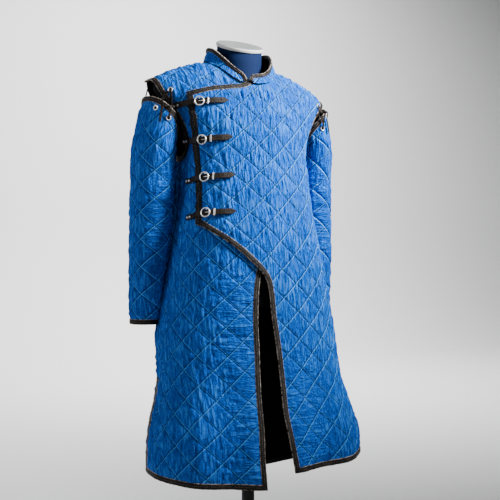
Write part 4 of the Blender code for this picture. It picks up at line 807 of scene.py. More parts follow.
# %% Raising a panel
def panel(name, place, outline, pressed, origin=(LATTICE_U, 0.0), cells=CELLS, height=None,
          creased=None):
    """A closed wall of cloth with the quilt on its face."""
    outer, outer_faces = cut_flat(outline, origin, cells, MARGIN)
    inner, inner_faces = cut_flat(outline, origin, LINING_CELLS, LINING_MARGIN)
    count = len(outline)
    border = distance(outline, outer)
    border[:count] = 0.0
    level = creased(outer[:, 0], outer[:, 1]) if creased else np.zeros(len(outer))
    if height is None:
        high = quilt_height(outer, origin, pressed(outer), border, level)
    else:
        high = height(outer, border)
    points = np.vstack([place(outer[:, 0], outer[:, 1], high),
                        place(inner[:, 0], inner[:, 1], np.zeros(len(inner)))])
    first = len(outer)
    faces = [tuple(f) for f in outer_faces]
    lining_from = len(faces)
    faces += [tuple(first + k for k in reversed(f)) for f in inner_faces]
    for k in range(count):
        a, b = (k - 1) % count, k
        faces.append((a, first + a, first + b, b))
    flat = np.vstack([outer, inner])
    thing = mesh_from(name, points, faces, pattern=flat, lattice=np.stack(lattice(flat, origin), 1))
    paint(thing, level=level)
    if pressed:
        SEWN.append((name, place, outline, origin, pressed))
    thing["lining_from"] = lining_from
    print(name, "has", len(faces), "faces")
    return turn_out(thing, mend=False)


def line_inside(thing):
    """The wall's inner face and its cut edge take the lining."""
    thing.data.materials.append(MATERIAL["lining"])
    index = np.zeros(len(thing.data.polygons), int)
    index[thing["lining_from"]:] = 1
    thing.data.polygons.foreach_set("material_index", index)
    thing.data.update()


def finish_cloth(thing, solid, outline):
    finish_piece(thing, "cloth", solid)
    line_inside(thing)
    flat_area(outline)


# %% [markdown]
# Looks. Shader node groups hold what more than one material uses: the linen's weave with its thick
# and thin yarns, the lines of stitching, and the grain and wear of leather. They give out shades,
# masks and heights only; the Principled shader stays in each material. Noise stands in for
# pictures of cloth and hide, so a pattern has no seams and stays sharp from near by.

# %% Helpers for shader nodes
def group(name, inputs, outputs, kind="ShaderNodeTree"):
    """An empty node group with named inputs and outputs."""
    tree = bpy.data.node_groups.new(name, kind)
    for word, socket_type, value in inputs:
        socket = tree.interface.new_socket(word, in_out="INPUT", socket_type=socket_type)
        if value is not None:
            socket.default_value = value
    for word, socket_type in outputs:
        tree.interface.new_socket(word, in_out="OUTPUT", socket_type=socket_type)
    return tree, tree.nodes.new("NodeGroupInput"), tree.nodes.new("NodeGroupOutput")


def node(tree, kind, links=(), **values):
    """Adds a node, sets its fields and its sockets' values, and links its inputs."""
    made = tree.nodes.new(kind)
    for key, value in values.items():
        if hasattr(made, key):
            setattr(made, key, value)
        else:
            made.inputs[key.replace("_", " ")].default_value = value
    for socket, source in links:
        tree.links.new(source, made.inputs[socket])
    return made


def math_node(tree, what, a, b=None, clamp=False):
    """A sum of two things, each a number or another node's output."""
    made = tree.nodes.new("ShaderNodeMath")
    made.operation, made.use_clamp = what, clamp
    for k, value in enumerate((a, b)):
        if value is None:
            continue
        if isinstance(value, (int, float)):
            made.inputs[k].default_value = value
        else:
            tree.links.new(value, made.inputs[k])
    return made.outputs[0]


def times(tree, a, b):
    return math_node(tree, "MULTIPLY", a, b)


def plus(tree, a, b, clamp=False):
    return math_node(tree, "ADD", a, b, clamp)


def noise_at(tree, vector, scale, detail=2.0, rough=0.5):
    made = node(tree, "ShaderNodeTexNoise", [("Vector", vector)], Scale=scale, Detail=detail,
                Roughness=rough)
    return made.outputs["Fac"]


def long_noise(tree, vector, scale, shift=0.0, rough=0.5):
    """Noise of its own size along each axis, so it makes streaks; shift keeps two of them apart."""
    made = tree.nodes.new("ShaderNodeMapping")
    made.inputs["Scale"].default_value = (*scale, 1)
    made.inputs["Location"].default_value = (shift, shift * 0.37, 0)
    tree.links.new(vector, made.inputs["Vector"])
    return noise_at(tree, made.outputs[0], 1.0, 2.0, rough)


def ramp(tree, value, low, high, **values):
    """0 at the value low and 1 at the value high, held level past them."""
    made = node(tree, "ShaderNodeMapRange", [("Value", value)], From_Min=low, From_Max=high,
                **values)
    return made.outputs[0]


def bumped(tree, shader, height):
    """Height is in metres, so the bump's distance is 1."""
    bump = node(tree, "ShaderNodeBump", [("Height", height)], Strength=1.0, Distance=1.0)
    tree.links.new(bump.outputs[0], shader.inputs["Normal"])


# %% The linen weave
YARNS_ACROSS, YARNS_UP = (430, 75), (85, 460)   # thick and thin yarns, per metre each way
THREADS = 190.0                 # bands of plain weave


def linen_group():
    tree, given, out = group(
        "slubby linen", [("Pattern", "NodeSocketVector", None), ("Yarn", "NodeSocketFloat", 1.0)],
        [("Shade", "NodeSocketFloat"), ("Height", "NodeSocketFloat")])
    pattern = given.outputs["Pattern"]
    upright = ramp(tree, long_noise(tree, pattern, YARNS_ACROSS, rough=0.6), 0.36, 0.66)
    level = ramp(tree, long_noise(tree, pattern, YARNS_UP, 3.1, 0.6), 0.36, 0.66)
    waves = [node(tree, "ShaderNodeTexWave", [("Vector", pattern)], wave_type="BANDS",
                  bands_direction=way, Scale=THREADS, Distortion=1.6, Detail=1.0).outputs["Fac"]
             for way in "XY"]
    yarns = times(tree, plus(tree, *waves), 0.5)
    slubs = times(tree, plus(tree, upright, level), 0.5)
    shade = plus(tree, times(tree, slubs, 0.8), times(tree, yarns, 0.2))
    height = times(tree, plus(tree, slubs, yarns), given.outputs["Yarn"])
    tree.links.new(shade, out.inputs["Shade"])
    tree.links.new(height, out.inputs["Height"])
    return tree


LINEN = linen_group()
print(LINEN.name, "has", len(LINEN.nodes), "nodes")

# %% The stitch lines
GROOVE_REACH = 0.0034           # how far from the thread the groove's sides rise
HIGHLIGHT_PAST, HIGHLIGHT_OUT, HIGHLIGHT_IN = 0.0021, 0.0015, 0.0004   # the lit edge past a line, and its width


def stitch_group():
    """Masks from the lattice map: Line on the thread, where the material paints shade, Groove
    rising away, and a band along one side, where the material paints a highlight.
    """
    tree, given, out = group(
        "stitch lines",
        [("Lattice", "NodeSocketVector", None), ("Wide", "NodeSocketFloat", 0.0012)],
        [("Line", "NodeSocketFloat"), ("Groove", "NodeSocketFloat"), ("Highlight", "NodeSocketFloat")])
    split = node(tree, "ShaderNodeSeparateXYZ", [(0, given.outputs["Lattice"])])
    near = [math_node(tree, "PINGPONG", split.outputs[k], 0.5) for k in (0, 1)]
    gap = times(tree, math_node(tree, "MINIMUM", *near), EDGE_LENGTH)
    line = node(tree, "ShaderNodeMapRange", [("Value", gap), ("From Max", given.outputs["Wide"])],
                interpolation_type="SMOOTHSTEP", To_Min=1.0, To_Max=0.0)
    groove = ramp(tree, gap, 0.0, GROOVE_REACH, interpolation_type="SMOOTHSTEP")
    past = [times(tree, math_node(tree, "FRACT", split.outputs[k]), EDGE_LENGTH) for k in (0, 1)]
    off = [math_node(tree, "ABSOLUTE", math_node(tree, "SUBTRACT", p, HIGHLIGHT_PAST)) for p in past]
    # Highlight: a band just past each stitch line on one side, where the material paints the
    # groove's lit flank.
    edge = ramp(tree, math_node(tree, "MINIMUM", *off), HIGHLIGHT_OUT, HIGHLIGHT_IN)
    for word, source in (("Line", line.outputs[0]), ("Groove", groove), ("Highlight", edge)):
        tree.links.new(source, out.inputs[word])
    return tree


STITCHES = stitch_group()
print(STITCHES.name, "has", len(STITCHES.nodes), "nodes")


# %% Leather grain
def leather_group():
    tree, given, out = group(
        "leather grain", [("Place", "NodeSocketVector", None), ("Scale", "NodeSocketFloat", 1.0)],
        [("Shade", "NodeSocketFloat"), ("Height", "NodeSocketFloat"),
         ("Wear", "NodeSocketFloat")])
    place = given.outputs["Place"]
    scaled = node(tree, "ShaderNodeVectorMath", [(0, place), (1, given.outputs["Scale"])],
                  operation="MULTIPLY").outputs[0]
    cells = node(tree, "ShaderNodeTexVoronoi", [("Vector", scaled)], feature="DISTANCE_TO_EDGE",
                 Scale=900.0)
    pores = noise_at(tree, scaled, 420.0, 3.0, 0.6)
    broad = noise_at(tree, scaled, 38.0, 3.0, 0.6)
    grain = plus(tree, times(tree, ramp(tree, cells.outputs["Distance"], 0.0, 0.12), 0.5),
                 times(tree, pores, 0.5))
    shade = plus(tree, times(tree, grain, 0.4), times(tree, broad, 0.6))
    wear = ramp(tree, broad, 0.52, 0.72)
    for word, source in (("Height", grain), ("Shade", shade), ("Wear", wear)):
        tree.links.new(source, out.inputs[word])
    return tree


LEATHER = leather_group()
print(LEATHER.name, "has", len(LEATHER.nodes), "nodes")


# %% Colour helpers
def new_material(name, **values):
    made = bpy.data.materials.new(name)
    made.use_nodes = True
    shader = made.node_tree.nodes["Principled BSDF"]
    for key, value in values.items():
        shader.inputs[key.replace("_", " ")].default_value = value
    return made, made.node_tree, shader


def mix_colours(tree, factor, a, b):
    made = node(tree, "ShaderNodeMix", data_type="RGBA")
    tree.links.new(factor, made.inputs["Factor"])
    sockets = [s for s in made.inputs if s.type == "RGBA"]
    for socket, value in zip(sockets, (a, b)):
        if isinstance(value, tuple):
            socket.default_value = (*value, 1.0)
        else:
            tree.links.new(value, socket)
    return next(s for s in made.outputs if s.type == "RGBA")


def attribute(tree, name):
    return node(tree, "ShaderNodeAttribute", attribute_name=name).outputs["Fac"]


def object_place(tree):
    return node(tree, "ShaderNodeTexCoord").outputs["Object"]


# %% Quilted linen
WRINKLES_UP, WRINKLES_LEVEL = (120, 21), (20, 125)      # per metre across and up the cloth
WEAVE_DEEP, WRINKLE_DEEP, GROOVE_DEEP = 0.00022, 0.0021, 0.0022


def cloth_material(name, dark, light, highlight_colour, sewn=0.9, raised=1.0):
    """Quilted linen: a weave of dark and light yarns, with painted shade in the pucker valleys and
    on the stitch lines, and painted highlights on the pucker crests and beside the stitch lines.
    The third colour is that of the painted highlights; sewn sets how strongly the stitch lines are
    painted.
    """
    made, tree, shader = new_material(name, Roughness=0.85, Specular_IOR_Level=0.06)
    pattern = node(tree, "ShaderNodeUVMap", uv_map="pattern").outputs[0]
    lattice_map = node(tree, "ShaderNodeUVMap", uv_map="lattice").outputs[0]
    weave = node(tree, "ShaderNodeGroup", [("Pattern", pattern)], node_tree=LINEN)
    seams = node(tree, "ShaderNodeGroup", [("Lattice", lattice_map)], node_tree=STITCHES)
    broad = ramp(tree, noise_at(tree, pattern, 11.0, 3.0, 0.6), 0.3, 0.7)
    shade = plus(tree, times(tree, weave.outputs["Shade"], 0.80), times(tree, broad, 0.25), True)
    upright = long_noise(tree, pattern, WRINKLES_UP, 1.7)
    across = long_noise(tree, pattern, WRINKLES_LEVEL, 4.3)
    turned = times(tree, math_node(tree, "SUBTRACT", across, upright), attribute(tree, "level"))
    wrinkles = plus(tree, upright, turned)
    folded = math_node(tree, "ABSOLUTE", math_node(tree, "SUBTRACT", wrinkles, 0.5))
    strength = ramp(tree, broad, 0.0, 1.0, To_Min=0.5, To_Max=1.3)
    # Painted shade in the pucker valleys, and a painted highlight on their crests.
    valley = times(tree, ramp(tree, folded, 0.030, 0.004), strength)
    ridge = times(tree, ramp(tree, folded, 0.060, 0.130), strength)
    colour = mix_colours(tree, shade, dark, light)
    colour = mix_colours(tree, times(tree, valley, 0.45), colour, dark)
    # Painted highlight: on the pucker crests and in a band along one side of each stitch line.
    pale = math_node(tree, "MAXIMUM", times(tree, ridge, 0.28),
                     times(tree, seams.outputs["Highlight"], sewn))
    colour = mix_colours(tree, pale, colour, highlight_colour)
    # Painted shade: the stitch line itself is darkened to near black.
    groove_shaded = mix_colours(tree, times(tree, seams.outputs["Line"], sewn), colour,
                       tuple(c * 0.10 for c in dark))
    tree.links.new(groove_shaded, shader.inputs["Base Color"])
    yarn = times(tree, weave.outputs["Height"], WEAVE_DEEP * raised)
    wrinkle = times(tree, times(tree, strength, ramp(tree, folded, 0.0, 0.10)),
                    WRINKLE_DEEP * raised)
    groove = times(tree, seams.outputs["Groove"], GROOVE_DEEP * raised)
    bumped(tree, shader, plus(tree, plus(tree, yarn, wrinkle), groove))
    return made


# %% Leather and plain finishes
# The first colour is near black, for painted shade and darker leather; the second is leather worn
# pale.
LEATHER_AND_SHADE_BLACK, RUBBED = (0.004, 0.004, 0.005), (0.50, 0.43, 0.37)
GRAIN_DEEP, CREASE_BUMP = 0.00025, 0.0012


def leather_material(name, dark, light, roughness):
    """Leather; a point's rim is worn pale. A second painted value turns it near black: on the left
    front's border partly as darker leather and partly as painted shade, on the armholes as painted
    shade.
    """
    made, tree, shader = new_material(name, Specular_IOR_Level=0.20)
    place = object_place(tree)
    grain = node(tree, "ShaderNodeGroup", [("Place", place)], node_tree=LEATHER, Scale=1.0)
    patchy = ramp(tree, noise_at(tree, place, 160.0, 3.0, 0.6), 0.38, 0.56)
    colour = mix_colours(tree, grain.outputs["Shade"], dark, light)
    colour = mix_colours(tree, times(tree, grain.outputs["Wear"], 0.06), colour, RUBBED)
    colour = mix_colours(tree, times(tree, attribute(tree, "rim"), patchy), colour, RUBBED)
    # Near black where the second painted value is high: painted shade, and darker leather on the
    # left front's border.
    colour = mix_colours(tree, times(tree, attribute(tree, "soot"), 0.9), colour, LEATHER_AND_SHADE_BLACK)
    tree.links.new(colour, shader.inputs["Base Color"])
    rough = plus(tree, times(tree, grain.outputs["Shade"], 0.22), roughness - 0.11)
    tree.links.new(rough, shader.inputs["Roughness"])
    creases = times(tree, noise_at(tree, place, 240.0), CREASE_BUMP)
    bumped(tree, shader, plus(tree, times(tree, grain.outputs["Height"], GRAIN_DEEP), creases))
    return made


def plain_material(name, colour, roughness, metallic=0.0, spread=0.12, scale=60.0):
    """One colour, a little lighter and duller in some spots than in others."""
    made, tree, shader = new_material(name, Metallic=metallic,
                                      Specular_IOR_Level=0.5 if metallic else 0.2)
    mottle = noise_at(tree, object_place(tree), scale, 4.0, 0.6)
    low = tuple(c * (1 - spread) for c in colour)
    high = tuple(min(1.0, c * (1 + spread)) for c in colour)
    tree.links.new(mix_colours(tree, mottle, low, high), shader.inputs["Base Color"])
    rough = plus(tree, times(tree, mottle, 0.16), roughness - 0.08)
    tree.links.new(rough, shader.inputs["Roughness"])
    return made


def cap_material():
    """Grey on top, with a white side wall that is a painted highlight for the lit rim: the turn of
    the surface tells the two apart.
    """
    made, tree, shader = new_material("grey cap", Roughness=0.42, Specular_IOR_Level=0.2)
    mottle = noise_at(tree, object_place(tree), 30.0, 4.0, 0.6)
    top = mix_colours(tree, mottle, (0.23, 0.24, 0.24), (0.30, 0.31, 0.31))
    normal = node(tree, "ShaderNodeNewGeometry").outputs["Normal"]
    upward = node(tree, "ShaderNodeSeparateXYZ", [(0, normal)]).outputs[2]
    # Painted highlight: faces that turn sideways are white, standing for light on the rim.
    tree.links.new(mix_colours(tree, ramp(tree, upward, 0.55, 0.8), (0.9, 0.9, 0.9), top),
                   shader.inputs["Base Color"])
    return made


# %% The finishes of this coat
MATERIAL = {
    # The third colour of each linen is its painted highlight.
    "cloth": cloth_material("blue linen", (0.0, 0.014, 0.150), (0.0, 0.205, 1.0),
                            (0.10, 0.42, 1.0)),
    "lining": cloth_material("black lining", (0.002, 0.002, 0.003), (0.008, 0.008, 0.010),
                             (0.010, 0.010, 0.012), 0.0, 0.5),
    "binding": leather_material("dark leather binding", (0.003, 0.0025, 0.002),
                                (0.016, 0.012, 0.010), 0.55),
    "leather": leather_material("black strap leather", (0.003, 0.002, 0.0015),
                                (0.036, 0.025, 0.018), 0.48),
    "metal": plain_material("nickel wire", (0.96, 0.96, 0.95), 0.34, 0.6, 0.04, 300.0),
    "thread": plain_material("waxed thread", (0.24, 0.20, 0.16), 0.6, 0.0, 0.2, 900.0),
    "blue thread": plain_material("blue thread", (0.002, 0.070, 0.330), 0.6, 0.0, 0.2, 900.0),
    "cap": cap_material(),
    "steel": plain_material("painted steel", (0.030, 0.030, 0.032), 0.45, 0.0, 0.15, 120.0),
    # Painted shade of a hole: the eyelets' plugs and the straps' punched holes are near black
    # discs.
    "hole": plain_material("painted hole shade", (0.004, 0.003, 0.003), 0.8, 0.0, 0.1, 200.0),
    "form": plain_material("form cover", (0.0, 0.012, 0.062), 0.85, 0.0, 0.10, 500.0),
    # Painted shade: the torso's cover is near black, for the shade inside the coat.
    "shade": plain_material("form cover painted black for shade", (0.002, 0.003, 0.005), 0.9, 0.0, 0.10, 500.0),
}
print("finishes:", ", ".join(MATERIAL))

# %% [markdown]
# The three body panels. Each stands for its solid, and the area of its flat cut is measured on the
# outline. On the skirt some puckers turn level, where the cloth's own weight and its free edge pull
# on it.

# %% Fronts and back
def creased_right(u, v):
    """The share of level creases: the skirt is creased near its free edge."""
    return 0.85 * smooth_step((-0.24 - v) / 0.14) * smooth_step((u + 0.19) / 0.10)


def creased_left(u, v):
    return 0.75 * smooth_step((-0.40 - v) / 0.20) * smooth_step((0.17 - u) / 0.12)


def creased_back(u, v):
    return 0.6 * smooth_step((-0.30 - v) / 0.30)


left_front = panel("cloth_left_front", place_left, LEFT_OUTLINE,
                   lambda points: pressed_front("left", points), creased=creased_left)
right_front = panel("cloth_right_front", place_right, RIGHT_OUTLINE,
                    lambda points: pressed_front("right", points), creased=creased_right)
back_panel = panel("cloth_back", place_back, REAR_OUTLINE,
                   lambda points: pressed_body("back", points), (0.0, 0.0), cells=BACK_CELLS,
                   creased=creased_back)
finish_cloth(left_front, "left_front", LEFT_OUTLINE)
finish_cloth(right_front, "right_front", RIGHT_OUTLINE)
finish_cloth(back_panel, "back_panel", REAR_OUTLINE)


# %% [markdown]
# A sleeve is cut as one piece with its seam under the arm. Its head stands away from the armhole,
# and laces tie the two together. The same panel function makes it, on the sleeve's own surface.

# %% The cut of a sleeve
def sleeve_runs(sleeve):
    """The runs of a sleeve's outline; its two long edges stand a seam's play apart."""
    cuff = sleeve.BOTTOM - sleeve.TOP
    angles = np.linspace(-math.pi, math.pi, 121)
    head = np.array([(sleeve.u_of(angle, sleeve.head(angle)), sleeve.head(angle) - sleeve.TOP)
                     for angle in angles])
    head[0, 0] += SEAM
    head[-1, 0] -= SEAM
    down = np.linspace(head[0, 1], cuff, 100)
    seam = sleeve.end(down) - SEAM
    wide = float(sleeve.end(cuff)) - SEAM
    return {"head": even_run(head), "front": np.stack([seam, down], 1),
            "cuff": even_run(np.array([(wide, cuff), (-wide, cuff)])),
            "back": np.stack([-seam[::-1], down[::-1]], 1)}


def below_head(sleeve, degrees, drop):
    """u and v at an angle round the sleeve, a drop below the edge of its head."""
    angle = math.radians(degrees)
    z = sleeve.head(angle) - drop
    return sleeve.u_of(angle, z), z - sleeve.TOP


def pressed_sleeve(sleeve, points):
    share = np.ones(len(points))
    for spot in SLEEVE_EYELETS.values():
        u, v = below_head(sleeve, *spot)
        share = np.minimum(share, eased(np.hypot(points[:, 0] - u, points[:, 1] - v)))
    return share


def creased_sleeve(u, v):
    """Level creases inside the elbow, where the sleeve bends forward."""
    return 0.9 * smooth_step((u - 0.02) / 0.07) * np.exp(-((v + 0.33) / 0.13) ** 2)


SLEEVE_RUNS = {word: sleeve_runs(sleeve) for word, sleeve in SLEEVES.items()}
print("a sleeve's head is %.3f m round" % run_along(SLEEVE_RUNS["left"]["head"])[-1])

# %% Sleeves
SLEEVE_ORIGIN = (0.0, -0.01)
SLEEVE_CLOTH = {}
for word, sleeve in SLEEVES.items():
    outline = join_runs(*SLEEVE_RUNS[word].values())
    SLEEVE_CLOTH[word] = panel(f"cloth_sleeve_{word}", sleeve.point, outline,
                               lambda points, s=sleeve: pressed_sleeve(s, points), SLEEVE_ORIGIN,
                               cells=SLEEVE_CELLS, creased=creased_sleeve)
    finish_cloth(SLEEVE_CLOTH[word], f"sleeve_{word}", outline)


# %% [markdown]
# The collar is a band that stands on the neck edge and leans in at its top. A body's rings can't
# carry it, because it leaves the body, so it has a surface of its own: along it, up it and out of
# it. It is stiff, so its quilting is shallow.

# %% The collar's surface
# At the back the collar is COLLAR_MORE higher than in front.
COLLAR_WALL, COLLAR_UP, COLLAR_HEIGHT, COLLAR_MORE = 0.0048, 0.0020, 0.025, 0.025
COLLAR_LEAN, COLLAR_CORNER, COLLAR_MIDDLE = 0.84, 0.010, np.array([0.0, 0.060])
COLLAR_OUT, COLLAR_LAP, COLLAR_STEP = 0.0012, 0.0205, 0.004
COLLAR_EDGE = BINDING_W * 0.8   # its binding is narrower


def spots_on(place, path, h=0.0):
    """Points of the cloth along a path in u and v, and the directions out of it there."""
    path = np.asarray(path, float)
    flat = np.zeros(len(path)) + h
    low = place(path[:, 0], path[:, 1], flat)
    high = place(path[:, 0], path[:, 1], flat + 0.001)
    return low, unit(high - low)


class Collar:
    """A stand collar: s runs along its base, t up it, and h is measured out from its inside."""

    def __init__(self):
        start = neck_run(FRONT, NOTCH_U - COLLAR_LAP, -NECK_HALF, FRONT_NECK_DROP)
        runs = ((place_right, start), (place_back, REAR["neck"]), (place_left, LEFT["neck"][::-1]))
        lines = [spots_on(place, run, WALL + COLLAR_UP)[0] for place, run in runs]
        line = even_run(np.vstack([lines[0][:-1], lines[1][:-1], lines[2]]), COLLAR_STEP)
        out = line - line.mean(0)
        out[:, 2] = 0
        self.out = unit(smoothed(out, 12))
        self.base = smoothed(line, 12) + self.out * COLLAR_OUT
        self.run = run_along(self.base)
        self.length = float(self.run[-1])

    def height(self, s):
        return COLLAR_HEIGHT + COLLAR_MORE * (1 - np.cos(2 * math.pi * s / self.length)) / 2

    def place(self, s, t, h):
        s, t, h = np.broadcast_arrays(*(np.asarray(a, float) for a in (s, t, h)))
        base, out = (np.stack([np.interp(s, self.run, table[:, k]) for k in range(3)], -1)
                     for table in (self.base, self.out))
        out = unit(out)
        top = base.copy()
        top[..., :2] = COLLAR_MIDDLE + (base[..., :2] - COLLAR_MIDDLE) * COLLAR_LEAN
        top[..., 2] += self.height(s)
        return base + (top - base) * (t / self.height(s))[..., None] + out * h[..., None]

    def runs(self):
        """The base's run, and the free edge with its two rounded corners."""
        corner = COLLAR_CORNER
        angles = np.linspace(0.0, math.pi / 2, 9)
        edge = self.height(0.0) - COLLAR_EDGE
        start = np.stack([corner * (1 - np.cos(angles)),
                          edge - corner + corner * np.sin(angles)], 1)
        along = np.linspace(corner, self.length - corner, 100)
        top = np.stack([along, self.height(along) - COLLAR_EDGE], 1)
        rising = np.vstack([[(0.0, 0.0)], start])
        falling = (rising * (-1, 1) + (self.length, 0))[::-1]
        free = even_run(np.vstack([rising, top[1:-1], falling]), COLLAR_STEP)
        return np.stack([np.linspace(self.length, 0, 110), np.zeros(110)], 1), free


COLLAR = Collar()
print("the collar is %.3f m long, %.3f m high in front and %.3f m at the back"
      % (COLLAR.length, COLLAR.height(0.0), COLLAR.height(COLLAR.length / 2)))

# %% Collar
COLLAR_ORIGIN, COLLAR_PUFF = (0.004, 0.0), 0.22
collar_base, collar_free = COLLAR.runs()
collar_outline = join_runs(collar_base, collar_free)


def collar_height(points, border):
    flat = quilt_height(points, COLLAR_ORIGIN, np.full(len(points), COLLAR_PUFF), border)
    return flat + COLLAR_WALL - WALL


collar = panel("cloth_collar", COLLAR.place, collar_outline, None, COLLAR_ORIGIN,
               height=collar_height)
finish_cloth(collar, "collar", collar_outline)

# %% [markdown]
# A binding is a strip of leather folded over a raw edge and stitched through. Its section is a
# flat, rounded oval that swallows the edge of the cloth, and it crumples a little along its
# length, most where the overlap is pulled by the straps. A curve object with a bevel could carry
# the section, but it can't crumple or lean with the cloth, so the rows are placed one by one.

# %% Sweeping a section along a line
def sweep(name, rows, closed):
    """A closed skin over rows of section points, capped at its ends when it is open."""
    rows = np.asarray(rows, float)
    count, width = rows.shape[:2]
    faces = []
    for k in range(count if closed else count - 1):
        a, b = k * width, ((k + 1) % count) * width
        faces += [(a + i, a + (i + 1) % width, b + (i + 1) % width, b + i) for i in range(width)]
    points = rows.reshape(-1, 3)
    if not closed:
        for k in (0, count - 1):
            middle = len(points)
            points = np.vstack([points, rows[k].mean(0)])
            faces += [(k * width + i, k * width + (i + 1) % width, middle) for i in range(width)]
    return turn_out(mesh_from(name, points, faces))


def oval(low_a, high_a, low_b, high_b, power=3.0, count=24):
    """Points round a rounded rectangle between two pairs of limits."""
    turn = np.linspace(0.0, 2 * math.pi, count, endpoint=False)
    x = np.sign(np.cos(turn)) * np.abs(np.cos(turn)) ** (2 / power)
    y = np.sign(np.sin(turn)) * np.abs(np.sin(turn)) ** (2 / power)
    return np.stack([(low_a + high_a) / 2 + x * (high_a - low_a) / 2,
                     (low_b + high_b) / 2 + y * (high_b - low_b) / 2], 1)


MITRE_MOST = 0.66               # a sharper corner than this isn't stretched further


def edge_frames(points, normals, closed):
    """At each point: the way out of the cloth, how far a corner stretches it, the way along."""
    if closed:
        before, after = np.roll(points, 1, axis=0), np.roll(points, -1, axis=0)
    else:
        before = np.vstack([2 * points[:1] - points[1:2], points[:-1]])
        after = np.vstack([points[1:], 2 * points[-1:] - points[-2:-1]])
    leg = unit(points - before)
    along = unit(leg + unit(after - points))
    out = unit(np.cross(along, normals))
    return out, 1.0 / np.maximum(MITRE_MOST, (leg * along).sum(1)), along


BINDING_IN, BINDING_LOW = -0.0014, -0.0007      # the section starts this far within the cloth
BINDING_OVAL = oval(BINDING_IN, BINDING_W + 0.0003, BINDING_LOW, BINDING_T + 0.0006)
print("a binding's section has", len(BINDING_OVAL), "points")

# %% Binding an edge
CRUMPLE_DEEP, CRUMPLE_LONG, CRUMPLE_BROAD = 0.0011, 0.0075, 0.021
OUTER_HALF, TOP_HALF, RIM_WIDE = 0.004, 0.001, 0.0022
SEWN_ROWS = []                  # the line of stitches on each binding


def binding(word, points, normals, turn, closed=False, section=BINDING_OVAL, crumple=0.35, seed=0,
            soot=0.0, swell=0.35):
    """Leather along an edge; turn is +1 or -1, the side of the path that the leather is on."""
    out, mitre, along = edge_frames(points, normals, closed)
    count = len(points)
    run = np.arange(count) * FINE
    crumple, soot = np.broadcast_to(crumple, count), np.broadcast_to(soot, count)
    rows = np.empty((count, len(section), 3))
    for k, (across, up) in enumerate(section):
        wave = (noise(run / CRUMPLE_LONG + seed * 31, k * 0.32 + seed)
                + 0.6 * noise(run / CRUMPLE_BROAD + 7, k * 0.2 + seed * 3)) * CRUMPLE_DEEP * crumple
        outer = across > OUTER_HALF
        wide = across * (1 + swell * soot * outer) + wave * outer
        high = up + wave / np.maximum(1, crumple) * (up > TOP_HALF)
        rows[:, k] = points + turn * out * (wide * mitre)[:, None] + normals * high[:, None]
    on_top = section[:, 1] > section[:, 1].max() * 0.45
    inset = np.minimum(section[:, 0] - BINDING_IN, section[:, 0].max() - section[:, 0])
    rim = (1 - smooth_step(inset / RIM_WIDE)) * on_top
    thing = sweep(f"edge_{word}", rows, closed)
    # The second painted value marks where the leather is painted near black: painted shade, and
    # darker leather.
    paint(thing, rim=np.tile(rim, count), soot=np.repeat(soot, len(section)))
    ridge = int(np.argmax(section[:, 1]))
    SEWN_ROWS.append((f"seam_{word}", rows[:-1, ridge], along[:-1], normals[:-1]))
    print(thing.name, "is %.3f m long" % run_along(points)[-1])
    return finish_piece(thing, "binding", f"binding_{word}")


def path_of(place, *runs):
    """Points of the cloth and the directions out of it, along runs that meet end to end."""
    return spots_on(place, np.vstack([runs[0][:1]] + [run[1:] for run in runs]))


# %% Bindings of the body
# The right front is bound up to where the overlap hides its edge.
RIGHT_BOUND = 0.79
left_path = [LEFT[run] for run in ("vent", "hem", "curve", "border", "edge")]
counts = [len(run) - 1 for run in left_path]
# Along the left front's border the binding is painted near black, partly as darker leather and
# partly as painted shade; it also crumples and swells more there.
soot = np.zeros(sum(counts) + 1)
soot[sum(counts[:3]):sum(counts[:4])] = 1.0
soot = smoothed(soot, 3)
binding("left_front", *path_of(place_left, *left_path), -1, crumple=0.35 + 1.5 * soot, seed=1,
        soot=soot)
free = RIGHT["free"][:int(len(RIGHT["free"]) * RIGHT_BOUND)]
binding("right_front", *path_of(place_right, RIGHT["vent"], RIGHT["hem"], free), 1, seed=2)
binding("back", *path_of(place_back, REAR["vent"], REAR["hem"], REAR["vent 2"]), 1, seed=3)
ARMHOLE_EDGE = {}
for word, side, place, runs in (("left", 1, place_left, LEFT), ("right", -1, place_right, RIGHT)):
    ahead = spots_on(place, runs["armhole"])
    behind = spots_on(place_back, armhole_run(BACK, side)[::-1][1:-1])
    # Painted shade: the armhole binding is painted near black low in front, where it lies in shade
    # beside the sleeve, and all along the back.
    shade_under_arm = smooth_step((0.075 - runs["armhole"][:, 1]) / 0.05)
    ARMHOLE_EDGE[word] = binding(
        f"armhole_{word}", *(np.vstack(pair) for pair in zip(ahead, behind)), -side, closed=True,
        seed=4 + side, soot=np.concatenate([shade_under_arm, np.ones(len(behind[0]))]), swell=0.0)

# %% Bindings of the collar and the sleeves
collar_oval = oval(BINDING_IN, COLLAR_EDGE, BINDING_LOW, COLLAR_WALL + 0.0018)
binding("collar", *spots_on(COLLAR.place, collar_free[1:-1]), 1, section=collar_oval, seed=8)
for word, sleeve in SLEEVES.items():
    for part in ("head", "cuff"):
        binding(f"{part}_{word}", *spots_on(sleeve.point, SLEEVE_RUNS[word][part][:-1]),
                sleeve.side, closed=True, seed=10 + sleeve.side)

# %% [markdown]
# Four straps close the front. Each is riveted to the underlap, rises through its ring and lies on
# the overlap with its point forward, under a flat wire keeper. A short tab holds ring and keeper
# to the overlap. All of them are swept along a line over the cloth, so they follow the chest.

